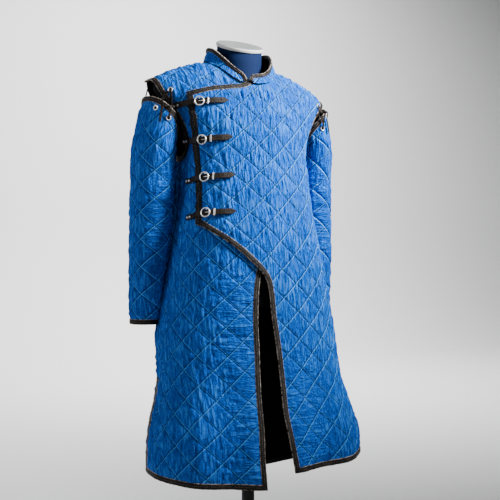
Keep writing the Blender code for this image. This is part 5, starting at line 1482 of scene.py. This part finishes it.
# %% Sizes of the straps
STRAP_W, STRAP_T, STRAP_UP = 0.0145, 0.0020, 0.0186
STRAP_RISE = [(STRAP_BASE, 0.0), (-0.056, 0.0), (-0.046, 0.0), (-0.035, 0.0112), (-0.025, 0.0172),
              (-0.012, STRAP_UP), (0.0, STRAP_UP), (0.040, STRAP_UP),
              (0.050, 0.0170), (0.058, 0.0162), (STRAP_TIP, 0.0156)]
TAB_UNDER, TAB_T, TAB_END = 0.0167, 0.0016, 0.040
KEEPER_U, KEEPER_T = 0.0185, 0.0010
RIVETS, HOLES = (-0.062, -0.052), (0.030, 0.039, 0.048)
RING_R, WIRE_R, BAR_R = 0.0110, 0.0015, 0.0011
RING_UP = STRAP_UP + STRAP_T + GAP + WIRE_R
BAR_UP = STRAP_UP - GAP - BAR_R
print("a strap is %.0f mm long, its ring %.0f mm wide"
      % ((STRAP_TIP - STRAP_BASE) * 1000, (RING_R + WIRE_R) * 2000))


# %% Places on the cloth
def frame_at(place, u, v, h):
    """A frame on the cloth: X along u, Z out of the cloth."""
    (here,), (normal,) = spots_on(place, [(u, v)], h)
    ends = spots_on(place, [(u - 0.002, v), (u + 0.002, v)], h)[0]
    along = ends[1] - ends[0]
    along = unit(along - normal * np.dot(along, normal))
    turned = np.column_stack([along, np.cross(normal, along), normal, here])
    return Matrix([*turned.tolist(), (0, 0, 0, 1)])


def moved(matrix, points):
    m = np.array(matrix)
    return np.asarray(points, float) @ m[:3, :3].T + m[:3, 3]


def circle(radius, height=0.0, count=32):
    turn = np.linspace(0, 2 * math.pi, count, endpoint=False)
    return np.stack([radius * np.cos(turn), radius * np.sin(turn), 0 * turn + height], 1)


def cloth_height(things, points, normal):
    """The greatest height of pieces over points of the inner wall."""
    away, best = 0.03, 0.0
    for thing in things:
        mesh = thing.data
        tree = BVHTree.FromPolygons([v.co for v in mesh.vertices],
                                    [p.vertices for p in mesh.polygons])
        for point, out in zip(points, np.broadcast_to(normal, np.shape(points))):
            gap = tree.ray_cast(Vector(point + out * away), Vector(-out), away)[3]
            best = max(best, 0.0 if gap is None else away - gap)
    return best


def strap_line(row, offsets, heights):
    """Points and normals over the underlap, along a strap."""
    offsets = np.asarray(offsets, float)
    path = np.stack([row.ring_u + offsets, strap_v(row, offsets)], 1)
    low, normal = spots_on(FRONT.point, path)
    return low + normal * np.asarray(heights, float)[:, None], normal


# %% Strips and wires
def ribbon(name, points, normals, widths, thickness, power=4.0):
    """A strip with rounded edges along points, lying on them."""
    out, _mitre, _along = edge_frames(points, normals, False)
    flat = oval(-0.5, 0.5, 0.0, thickness, power, 20)
    rows = (points[:, None] + out[:, None] * flat[None, :, :1] * np.asarray(widths)[:, None, None]
            + normals[:, None] * flat[None, :, 1:])
    return sweep(name, rows, False)


def tube(name, points, radius, sides=12, closed=False):
    """A round wire along points."""
    points = np.asarray(points, float)
    if closed:
        along = np.roll(points, -1, axis=0) - np.roll(points, 1, axis=0)
    else:
        along = np.gradient(points, axis=0)
    along = unit(along)
    side = unit(np.cross(along, np.eye(3)[np.argmin(np.abs(along).sum(0))]))
    up = np.cross(side, along)
    turn = np.linspace(0, 2 * math.pi, sides, endpoint=False)
    rows = (points[:, None] + radius * (side[:, None] * np.cos(turn)[None, :, None]
                                        + up[:, None] * np.sin(turn)[None, :, None]))
    return sweep(name, rows, closed)


def joined(name, *things):
    """One object from several."""
    shell = bmesh.new()
    for thing in things:
        shell.from_mesh(thing.data)
        mesh = thing.data
        bpy.data.objects.remove(thing)
        bpy.data.meshes.remove(mesh)
    mesh = bpy.data.meshes.new(name)
    shell.to_mesh(mesh)
    shell.free()
    mesh.polygons.foreach_set("use_smooth", [True] * len(mesh.polygons))
    whole = bpy.data.objects.new(name, mesh)
    bpy.context.scene.collection.objects.link(whole)
    return whole


# %% Straps and tabs
RISE = np.array(STRAP_RISE)
BASE_END = -0.044               # up to here a strap lies on the underlap
POINT_LONG, BASE_ROUND, TAB_SHARE = 0.0105, 0.0035, 0.9
MARKS = {"rivets": [], "holes": []}


def lay_strap(row):
    """A strap lies on whatever is highest under its base, then rises to its ring."""
    patch = np.array([(row.ring_u + a, float(strap_v(row, a)) + b)
                      for a in np.linspace(STRAP_BASE, BASE_END, 13)
                      for b in np.linspace(-STRAP_W / 2, STRAP_W / 2, 7)])
    low = cloth_height([right_front, ARMHOLE_EDGE["right"]], *spots_on(FRONT.point, patch)) + GAP
    offsets = np.concatenate([np.linspace(STRAP_BASE, 0.054, 60),
                              np.linspace(0.0555, STRAP_TIP, 8)])
    heights = smoothed(np.maximum(np.interp(offsets, RISE[:, 0], RISE[:, 1]), low), 5)
    point_share = np.clip((STRAP_TIP - offsets) / POINT_LONG, 0.03, 1.0) ** 0.85
    base_share = np.sqrt(np.clip((offsets - STRAP_BASE) / BASE_ROUND, 0.25, 1.0))
    strap = ribbon(f"leather_strap_{row.name}", *strap_line(row, offsets, heights),
                   STRAP_W * point_share * base_share, STRAP_T)
    finish_piece(strap, "leather", f"strap_{row.name}")
    for kind, spots, top in (("rivets", RIVETS, 0.0002), ("holes", HOLES, -0.00005)):
        for offset in spots:
            high = float(np.interp(offset, offsets, heights)) + STRAP_T + top
            MARKS[kind].append(frame_at(FRONT.point, row.ring_u + offset,
                                        float(strap_v(row, offset)), high))
    print(strap.name, "lies %.1f mm over the wall at its base" % (low * 1000))


def lay_tab(row):
    at = np.linspace(BAR_R + GAP, TAB_END, 24)
    tab = ribbon(f"leather_tab_{row.name}", *strap_line(row, at, np.full(24, TAB_UNDER)),
                 np.full(24, STRAP_W * TAB_SHARE), TAB_T)
    finish_piece(tab, "leather", f"tab_{row.name}")


# %% Buckles and keepers
BAR_PAST, RING_IN, PRONG_R = 0.0019, 0.0008, 0.0009
KEEPER_PAST, KEEPER_HALF, KEEPER_COUNT = 0.0012, 0.0021, 48


def bend_buckle(row):
    """A ring over the strap, with a bar under it on two legs, and a prong."""
    ring = frame_at(FRONT.point, row.ring_u, row.ring_v, RING_UP)
    across, low = STRAP_W / 2 + BAR_PAST, BAR_UP - RING_UP
    bar = [(0, s * across, low) for s in np.linspace(-1, 1, 9)]
    legs = [[(0, s * across, low), (0, s * across, low * 0.5), (0, s * (RING_R - RING_IN), 0)]
            for s in (-1, 1)]
    prong = [(-0.001, 0, -WIRE_R + 0.0008), (0.004, 0, 0.0004), (RING_R + 0.0006, 0, 0.0010)]
    pieces = [tube("ring", moved(ring, circle(RING_R, 0.0, 56)), WIRE_R, 14, True)]
    pieces += [tube("bar", moved(ring, line), BAR_R, 10) for line in (bar, *legs)]
    pieces.append(tube("prong", moved(ring, prong), PRONG_R, 10))
    finish_piece(joined(f"metal_buckle_{row.name}", *pieces), "metal", f"buckle_{row.name}")


def bend_keeper(row):
    """A loop of flat wire round the strap and the tab."""
    frame_k = frame_at(FRONT.point, row.ring_u + KEEPER_U, float(strap_v(row, KEEPER_U)), 0.0)
    half = STRAP_W / 2 + KEEPER_PAST
    low, high = TAB_UNDER - GAP - KEEPER_T / 2, STRAP_UP + STRAP_T + GAP + KEEPER_T / 2
    loop = oval(-half, half, low, high, 6.0, KEEPER_COUNT)
    wire = oval(-KEEPER_HALF, KEEPER_HALF, -KEEPER_T / 2, KEEPER_T / 2, 3.0, 12)
    rows = []
    for k, here in enumerate(loop):
        leg = loop[(k + 1) % KEEPER_COUNT] - loop[k - 1]
        away = np.array([leg[1], -leg[0]]) / np.linalg.norm(leg)
        rows.append(moved(frame_k, [(a, *(here + away * b)) for a, b in wire]))
    finish_piece(sweep(f"metal_keeper_{row.name}", rows, True), "metal", f"keeper_{row.name}")


for row in STRAP_ROWS:
    lay_strap(row)
    lay_tab(row)
    bend_buckle(row)
    bend_keeper(row)

# %% [markdown]
# The sleeves hang from flat thongs. Each thong starts at an eyelet in the body, crosses the gap,
# lies over the sleeve and ends free. A thong is drawn through a few places on the cloth, each with
# its height over it, and a smooth curve joins them.

# %% Eyelets
EYELET_R, EYELET_WIRE, LACE_W, LACE_T = 0.0052, 0.0013, 0.0062, 0.0017
HOLE_SHADE_SHARE, HOLE_SHADE_LEVELS = 0.9, (-0.0016, -0.0002)


def eyelet(name, cloth, surface, at):
    """A ring of wire on the cloth with a near-black plug in it, painted shade for the hole; gives
    the height of its top.
    """
    flat = frame_at(surface, *at, 0.0)
    rims = np.vstack([circle(EYELET_R + k * EYELET_WIRE) for k in (-1, 0, 1)])
    seat = cloth_height([cloth], moved(flat, rims), np.array(flat)[:3, 2]) + EYELET_WIRE
    frame_here = frame_at(surface, *at, seat)
    finish_piece(tube(f"metal_eyelet_{name}", moved(frame_here, circle(EYELET_R)), EYELET_WIRE, 10,
                      True), "metal", f"eyelet_{name}")
    hole_shade = [moved(frame_here, circle(EYELET_R * HOLE_SHADE_SHARE, z)) for z in HOLE_SHADE_LEVELS]
    finish_piece(sweep(f"well_{name}", hole_shade, False), "hole")
    return seat + EYELET_WIRE + 2 * GAP


print("an eyelet is %.1f mm wide" % ((EYELET_R + EYELET_WIRE) * 2000))


# %% Thongs
def lay_thong(row, word, rows):
    """A flat thong on a smooth curve through places, each a point and the way out of the cloth."""
    line = through(np.hstack([np.vstack(column) for column in zip(*rows)]), 0.002)
    points, normals = line[:, :3], unit(line[:, 3:])
    lace = ribbon(f"thong_{row.name}_{word}", points, normals, np.full(len(points), LACE_W),
                  LACE_T, 3.0)
    finish_piece(lace, "leather", f"lace_{row.name}_{word}")
    length = float(run_along(points)[-1])
    print(lace.name, "is %.3f m long" % length)
    tuple(points[0])
    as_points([tuple(p + n * LACE_T / 2) for p, n in zip(points, normals)][::3])


for word, sleeve in SLEEVES.items():
    side = sleeve.side
    places = {"front": place_left if side > 0 else place_right, "back": place_back}
    cloths = {"front": left_front if side > 0 else right_front, "back": back_panel}
    tops = {}
    for row in BODY_EYELETS:
        tops["body", row.name] = eyelet(f"body_{row.name}_{word}", cloths[row.side],
                                        places[row.side], (side * row.u, row.v))
    for name, spot in SLEEVE_EYELETS.items():
        tops["sleeve", name] = eyelet(f"sleeve_{name}_{word}", SLEEVE_CLOTH[word], sleeve.point,
                                      below_head(sleeve, *spot))
    for row in LACES:
        rows = [spots_on(places[row.side], [(side * u, v)], high or tops["body", row.side])
                for u, v, high in row.body]
        rows += [spots_on(sleeve.point, [below_head(sleeve, degrees, drop)],
                          high or tops["sleeve", row.name])
                 for degrees, drop, high in row.sleeve]
        lay_thong(row, word, rows)

# %% [markdown]
# The form is plain: a smooth torso under the coat, a neck with a tilted cap, a pole and a heavy
# round base. The torso is the coat's own surface a little further in; the rest is turned, as on a
# lathe, from a profile.

# %% The torso
FORM_CLEAR, FORM_TOUCH, FORM_BOTTOM = 0.0115, 0.0007, 0.800
SHOULDER_EASE = 7.0             # how fast the torso comes up to the coat at the shoulders
SHOULDER_INSET, RIDGE_SHARE, RIDGE_HALF_T = 0.09, 0.91, 0.0004


def form_row(body, share, level):
    near = min(1.0, math.cos(max(level, 0.0) * math.pi / 2) * SHOULDER_EASE)
    clear = FORM_TOUCH + (FORM_CLEAR - FORM_TOUCH) * near
    inset = 0.0001 + SHOULDER_INSET * float(smooth_step((level - 0.3) / 0.5))
    u = share * float(np.interp(level, body.levels, body.ends)) * (1 - inset)
    step = body.SLOPE
    du = body.at_level(u + step, level) - body.at_level(u - step, level)
    dv = body.at_level(u, min(level + step, 1.0)) - body.at_level(u, level - step)
    return body.at_level(u, level) - unit(np.cross(dv, du) * body.sign) * clear


def form_torso():
    levels = np.concatenate([np.linspace(FORM_BOTTOM - CHEST_Z, 0.0, 30),
                             np.linspace(0.03, 0.93, 28)])
    share = np.linspace(-1, 1, 49)
    rows = [np.vstack([form_row(FRONT, share[:-1], level), form_row(BACK, share[::-1][:-1], level)])
            for level in levels]
    half = len(share) - 1
    x = share * RIDGE_HALF * RIDGE_SHARE
    ridge = np.stack([x, np.full(len(x), RIDGE_Y),
                      ridge_height(x) + shoulder_tilt(x, 1.0) - FORM_TOUCH], 1)
    last = np.vstack([ridge[:-1], ridge[::-1][:-1]])
    last[half + 1:, 1] += RIDGE_HALF_T
    last[1:half, 1] -= RIDGE_HALF_T
    return sweep("form_torso", rows + [last], False)


# The torso is painted near black, as shade seen through the coat's gaps.
torso = finish_piece(form_torso(), "shade", "form_body")
print(torso.name, "has", len(torso.data.polygons), "faces")

# %% Neck, cap, pole and base
NECK_LEAN, NECK_TOP = math.radians(22), Vector((0, 0.0528, 1.4520))
NECK_R, CAP_R, POLE_R, BASE_R, BASE_T = 0.058, 0.061, 0.016, 0.170, 0.022
SOCKET_TOP = BASE_T + 0.012
# Each row of the neck has y, height, radius and its share of the lean.
NECK_ROWS = [(0.058, 1.330, 0.064, 0.0), (0.058, 1.350, 0.0625, 0.1), (0.058, 1.385, 0.060, 0.35),
             (0.056, 1.420, 0.0582, 0.72), (NECK_TOP.y, NECK_TOP.z - 0.001, NECK_R, 1.0),
             (NECK_TOP.y, NECK_TOP.z, NECK_R - 0.001, 1.0)]
# Each profile has rows of radius and height.
CAP_PROFILE = [(CAP_R * 0.5, GAP), (CAP_R - 0.0008, GAP), (CAP_R, 0.0014), (CAP_R, 0.0072),
               (CAP_R - 0.0006, 0.0084), (CAP_R - 0.0018, 0.0090), (CAP_R * 0.5, 0.0092)]
POLE_PROFILE = [(POLE_R - 0.001, SOCKET_TOP + GAP), (POLE_R, SOCKET_TOP + 0.0015),
                (POLE_R, FORM_BOTTOM - 0.0015), (POLE_R - 0.001, FORM_BOTTOM - GAP)]
BASE_PROFILE = [(BASE_R - 0.002, 0.0), (BASE_R, 0.0015), (BASE_R, 0.010), (BASE_R - 0.002, 0.0135),
                (BASE_R - 0.008, 0.017), (0.10, 0.0205), (0.060, BASE_T),
                (0.031, BASE_T + 0.0015), (0.030, BASE_T + 0.003), (0.030, SOCKET_TOP - 0.0015),
                (0.0285, SOCKET_TOP)]


def revolve(name, profile, sides, matrix=Matrix.Identity(4)):
    """A turned solid about Z, closed at both ends."""
    rows = [moved(matrix, circle(radius, height, sides)) for radius, height in profile]
    return sweep(name, rows, False)


neck_rows = []
for y, z, radius, tilt in NECK_ROWS:
    ring = circle(radius, 0.0, 72)
    lean = NECK_LEAN * tilt
    neck_rows.append(np.stack([ring[:, 0], y + ring[:, 1] * math.cos(lean),
                               z + ring[:, 1] * math.sin(lean)], 1))
finish_piece(sweep("form_neck", neck_rows, False), "form")
on_neck = Matrix.Translation(NECK_TOP) @ Matrix.Rotation(NECK_LEAN, 4, "X")
finish_piece(revolve("form_lid", CAP_PROFILE, 96, on_neck), "cap", "form_cap")
finish_piece(revolve("stand_pole", POLE_PROFILE, 48), "steel", "form_pole")
finish_piece(revolve("stand_base", BASE_PROFILE, 96), "steel", "form_base")
print("the cap's middle is %.3f m high" % (NECK_TOP.z + CAP_PROFILE[-1][1]))

# %% [markdown]
# Rivets, punched holes and stitches repeat, so one Geometry Nodes group makes them all: it puts a
# small bead on each marked point, turned to the directions stored there. A stitch is a bead too,
# drawn out long and thin: from near by, thread between two holes is just such a grain.

# %% A node group for beads
def bead_group():
    kinds = (("Marks", "Geometry"), ("Size", "Vector"), ("Segments", "Int"), ("Rings", "Int"),
             ("Vary", "Float"), ("Seed", "Int"), ("Finish", "Material"))
    tree, given, out = group("beads on marks",
                             [(word, f"NodeSocket{kind}", None) for word, kind in kinds],
                             [("Beads", "NodeSocketGeometry")], "GeometryNodeTree")
    bead = node(tree, "GeometryNodeMeshUVSphere",
                [(word, given.outputs[word]) for word in ("Segments", "Rings")], Radius=0.5)
    soft = node(tree, "GeometryNodeSetShadeSmooth", [("Geometry", bead.outputs["Mesh"])])
    shaped = node(tree, "GeometryNodeTransform", [("Geometry", soft.outputs[0]),
                                                  ("Scale", given.outputs["Size"])])
    points = node(tree, "GeometryNodeMeshToPoints", [("Mesh", given.outputs["Marks"])])
    along, away = (node(tree, "GeometryNodeInputNamedAttribute", data_type="FLOAT_VECTOR",
                        Name=word).outputs["Attribute"] for word in ("along", "out"))
    turn = node(tree, "FunctionNodeAlignRotationToVector", [("Vector", along)], axis="X")
    turn = node(tree, "FunctionNodeAlignRotationToVector",
                [("Rotation", turn.outputs[0]), ("Vector", away)], axis="Z", pivot_axis="X")
    spread = node(tree, "FunctionNodeRandomValue", [("Seed", given.outputs["Seed"])],
                  data_type="FLOAT")
    for word, what in (("Min", "SUBTRACT"), ("Max", "ADD")):
        socket = next(s for s in spread.inputs if s.name == word and s.type == "VALUE")
        tree.links.new(math_node(tree, what, 1.0, given.outputs["Vary"]), socket)
    size = next(s for s in spread.outputs if s.type == "VALUE")
    copies = node(tree, "GeometryNodeInstanceOnPoints",
                  [("Points", points.outputs[0]), ("Instance", shaped.outputs[0]),
                   ("Rotation", turn.outputs[0]), ("Scale", size)])
    real = node(tree, "GeometryNodeRealizeInstances", [(0, copies.outputs[0])])
    painted = node(tree, "GeometryNodeSetMaterial", [("Geometry", real.outputs[0]),
                                                     ("Material", given.outputs["Finish"])])
    tree.links.new(painted.outputs[0], out.inputs[0])
    return tree


BEADS = bead_group()
print(BEADS.name, "has", len(BEADS.nodes), "nodes")


# %% Beads on marks
def beads(name, points, along, out, size, segments, rings, finish, vary=0.0, seed=1):
    """A mesh of beads on points, from the node group, as plain geometry."""
    marks = bpy.data.meshes.new(name + "_marks")
    marks.from_pydata([tuple(p) for p in points], [], [])
    for word, table in (("along", along), ("out", out)):
        made = marks.attributes.new(word, "FLOAT_VECTOR", "POINT")
        made.data.foreach_set("vector", np.asarray(table, float).ravel())
    source = bpy.data.objects.new(name + "_marks", marks)
    bpy.context.scene.collection.objects.link(source)
    modifier = source.modifiers.new("beads", "NODES")
    modifier.node_group = BEADS
    values = {"Size": size, "Segments": segments, "Rings": rings, "Vary": vary, "Seed": seed,
              "Finish": MATERIAL[finish]}
    for item in BEADS.interface.items_tree:
        if item.item_type == "SOCKET" and item.in_out == "INPUT" and item.name in values:
            modifier[item.identifier] = values[item.name]
    ready = source.evaluated_get(bpy.context.evaluated_depsgraph_get())
    mesh = bpy.data.meshes.new_from_object(ready)
    mesh.name = name
    bpy.data.objects.remove(source)
    bpy.data.meshes.remove(marks)
    thing = bpy.data.objects.new(name, mesh)
    bpy.context.scene.collection.objects.link(thing)
    print(name, "has", len(points), "beads")
    finish_piece(thing, finish)


# %% Stitches
STITCH_STEP, BACK_STEP, STITCH_UP = 0.0065, 0.0085, 0.0002
STITCH_SIZE, SEAM_STITCH_SIZE = (0.0042, 0.0011, 0.0010), (0.0032, 0.0009, 0.0012)


def stitch_marks(place, outline, origin, pressed, step):
    """Points along the stitch lines inside an outline, with the directions along and out."""
    limits = lattice_limits(outline, origin)
    flat, heading = [], []
    for way, rise in ((0, -DIAMOND_H), (1, DIAMOND_H)):
        own, other = limits[way], limits[1 - way]
        along = np.arange(other.min(), other.max(), step / EDGE_LENGTH)
        for line in range(math.ceil(own.min()), math.floor(own.max()) + 1):
            pair = (np.full(len(along), float(line)), along)
            flat.append(from_lattice(*(pair if way == 0 else pair[::-1]), origin))
            heading.append(np.tile([DIAMOND_W, rise], (len(along), 1)))
    flat, heading = np.vstack(flat), np.vstack(heading)
    keep = inside(outline, flat)
    keep[keep] = distance(outline, flat[keep]) > BINDING_W
    flat, heading = flat[keep], heading[keep]
    high = quilt_height(flat, origin, pressed(flat), np.full(len(flat), 1.0)) + STITCH_UP
    points = place(*flat.T, high)
    ahead = place(*(flat + heading * 0.02).T, high)
    return points, ahead - points, place(*flat.T, high + 0.0008) - points


for name, place, outline, origin, pressed in SEWN:
    step = BACK_STEP if place is place_back else STITCH_STEP
    beads(name.replace("cloth", "stitches"), *stitch_marks(place, outline, origin, pressed, step),
          STITCH_SIZE, 4, 3, "blue thread", 0.12, 3)
for name, points, along, out in SEWN_ROWS:
    beads(name, points, along, out, SEAM_STITCH_SIZE, 4, 3, "thread", 0.15, 5)

# %% Rivets and holes
# A frame's columns are the directions along the strap, across it and out, then the place.
# The holes are near black discs, painted shade standing for holes punched through the strap.
for kind, size, finish in (("rivets", (0.0062, 0.0062, 0.0030), "metal"),
                           ("holes", (0.0026, 0.0026, 0.0004), "hole")):
    frames = [np.array(m) for m in MARKS[kind]]
    beads(f"strap_{kind}", *([m[:3, k] for m in frames] for k in (3, 0, 2)), size, 20, 10, finish)

# %% [markdown]
# The stage is a sheet of pale paper that lies flat, curves up behind and stands as a wall, so no
# corner shows. The key light comes from the upper right; the others only open the shadows and
# light the paper.

# %% Lights
Lamp = namedtuple("Lamp", "name place aim size power spread")
LAMPS = [
    Lamp("key",   (1.30, -1.25, 2.30), (0.02, -0.05, 1.39), 0.6, 18, 54),
    Lamp("fill",  (-1.2, -2.9, 1.7),   (0.0, 0.0, 1.15),    1.2, 9, 180),
    Lamp("side",  (-2.6, 0.1, 1.8),    (-0.2, 0.0, 1.1),    0.9, 5, 90),
    Lamp("rim",   (0.3, 1.5, 2.6),     (0.0, 0.0, 1.3),     0.9, 4, 180),
    Lamp("paper", (1.6, 2.6, 4.2),     (1.6, 5.2, 0.6),     2.4, 300, 130),
]
for row in LAMPS:
    lamp = bpy.data.lights.new(row.name, "AREA")
    lamp.shape, lamp.size, lamp.energy = "SQUARE", row.size, row.power
    lamp.spread = math.radians(row.spread)
    thing = bpy.data.objects.new(row.name, lamp)
    thing.location = row.place
    aim = Vector(row.aim) - Vector(row.place)
    thing.rotation_euler = aim.to_track_quat("-Z", "Y").to_euler()
    bpy.context.scene.collection.objects.link(thing)
    print(row.name, "light stands %.1f m from its aim" % aim.length)
world = bpy.data.worlds.new("studio")
bpy.context.scene.world = world
world.use_nodes = True
world.node_tree.nodes["Background"].inputs["Color"].default_value = (0.92, 0.96, 1.0, 1.0)
world.node_tree.nodes["Background"].inputs["Strength"].default_value = 0.07

# %% Floor and camera
PAPER_HALF, PAPER_FRONT, PAPER_BEND, PAPER_R, PAPER_TOP = 8.0, -8.0, 4.8, 1.2, 7.0
PAPER_Z = -0.001                # just under the base
bend = [(PAPER_BEND + PAPER_R * math.sin(a), PAPER_R - PAPER_R * math.cos(a))
        for a in np.linspace(0.1, 1.57, 12)]
side_view = [(PAPER_FRONT, 0.0), (-2.0, 0.0), (PAPER_BEND, 0.0), *bend,
             (PAPER_BEND + PAPER_R, PAPER_TOP)]
points = [(x, y, z + PAPER_Z) for y, z in side_view for x in (-PAPER_HALF, PAPER_HALF)]
faces = [(2 * k, 2 * k + 1, 2 * k + 3, 2 * k + 2) for k in range(len(side_view) - 1)]
floor = mesh_from("floor", points, faces)
floor.data.materials.append(plain_material("pale paper", (0.92, 0.92, 0.92), 0.9, 0.0, 0.01, 3.0))

eye = bpy.data.cameras.new("camera")
eye.lens, eye.sensor_width, eye.shift_x, eye.shift_y = 68.6, 36.0, 0.004, -0.004
camera = bpy.data.objects.new("camera", eye)
camera.location = (-1.0143, -2.1751, 0.94)
camera.rotation_euler = (math.pi / 2, 0.0, math.radians(-25))
bpy.context.scene.collection.objects.link(camera)
bpy.context.scene.camera = camera
print("the camera stands %.2f m from the form's pole" % math.hypot(*camera.location[:2]))
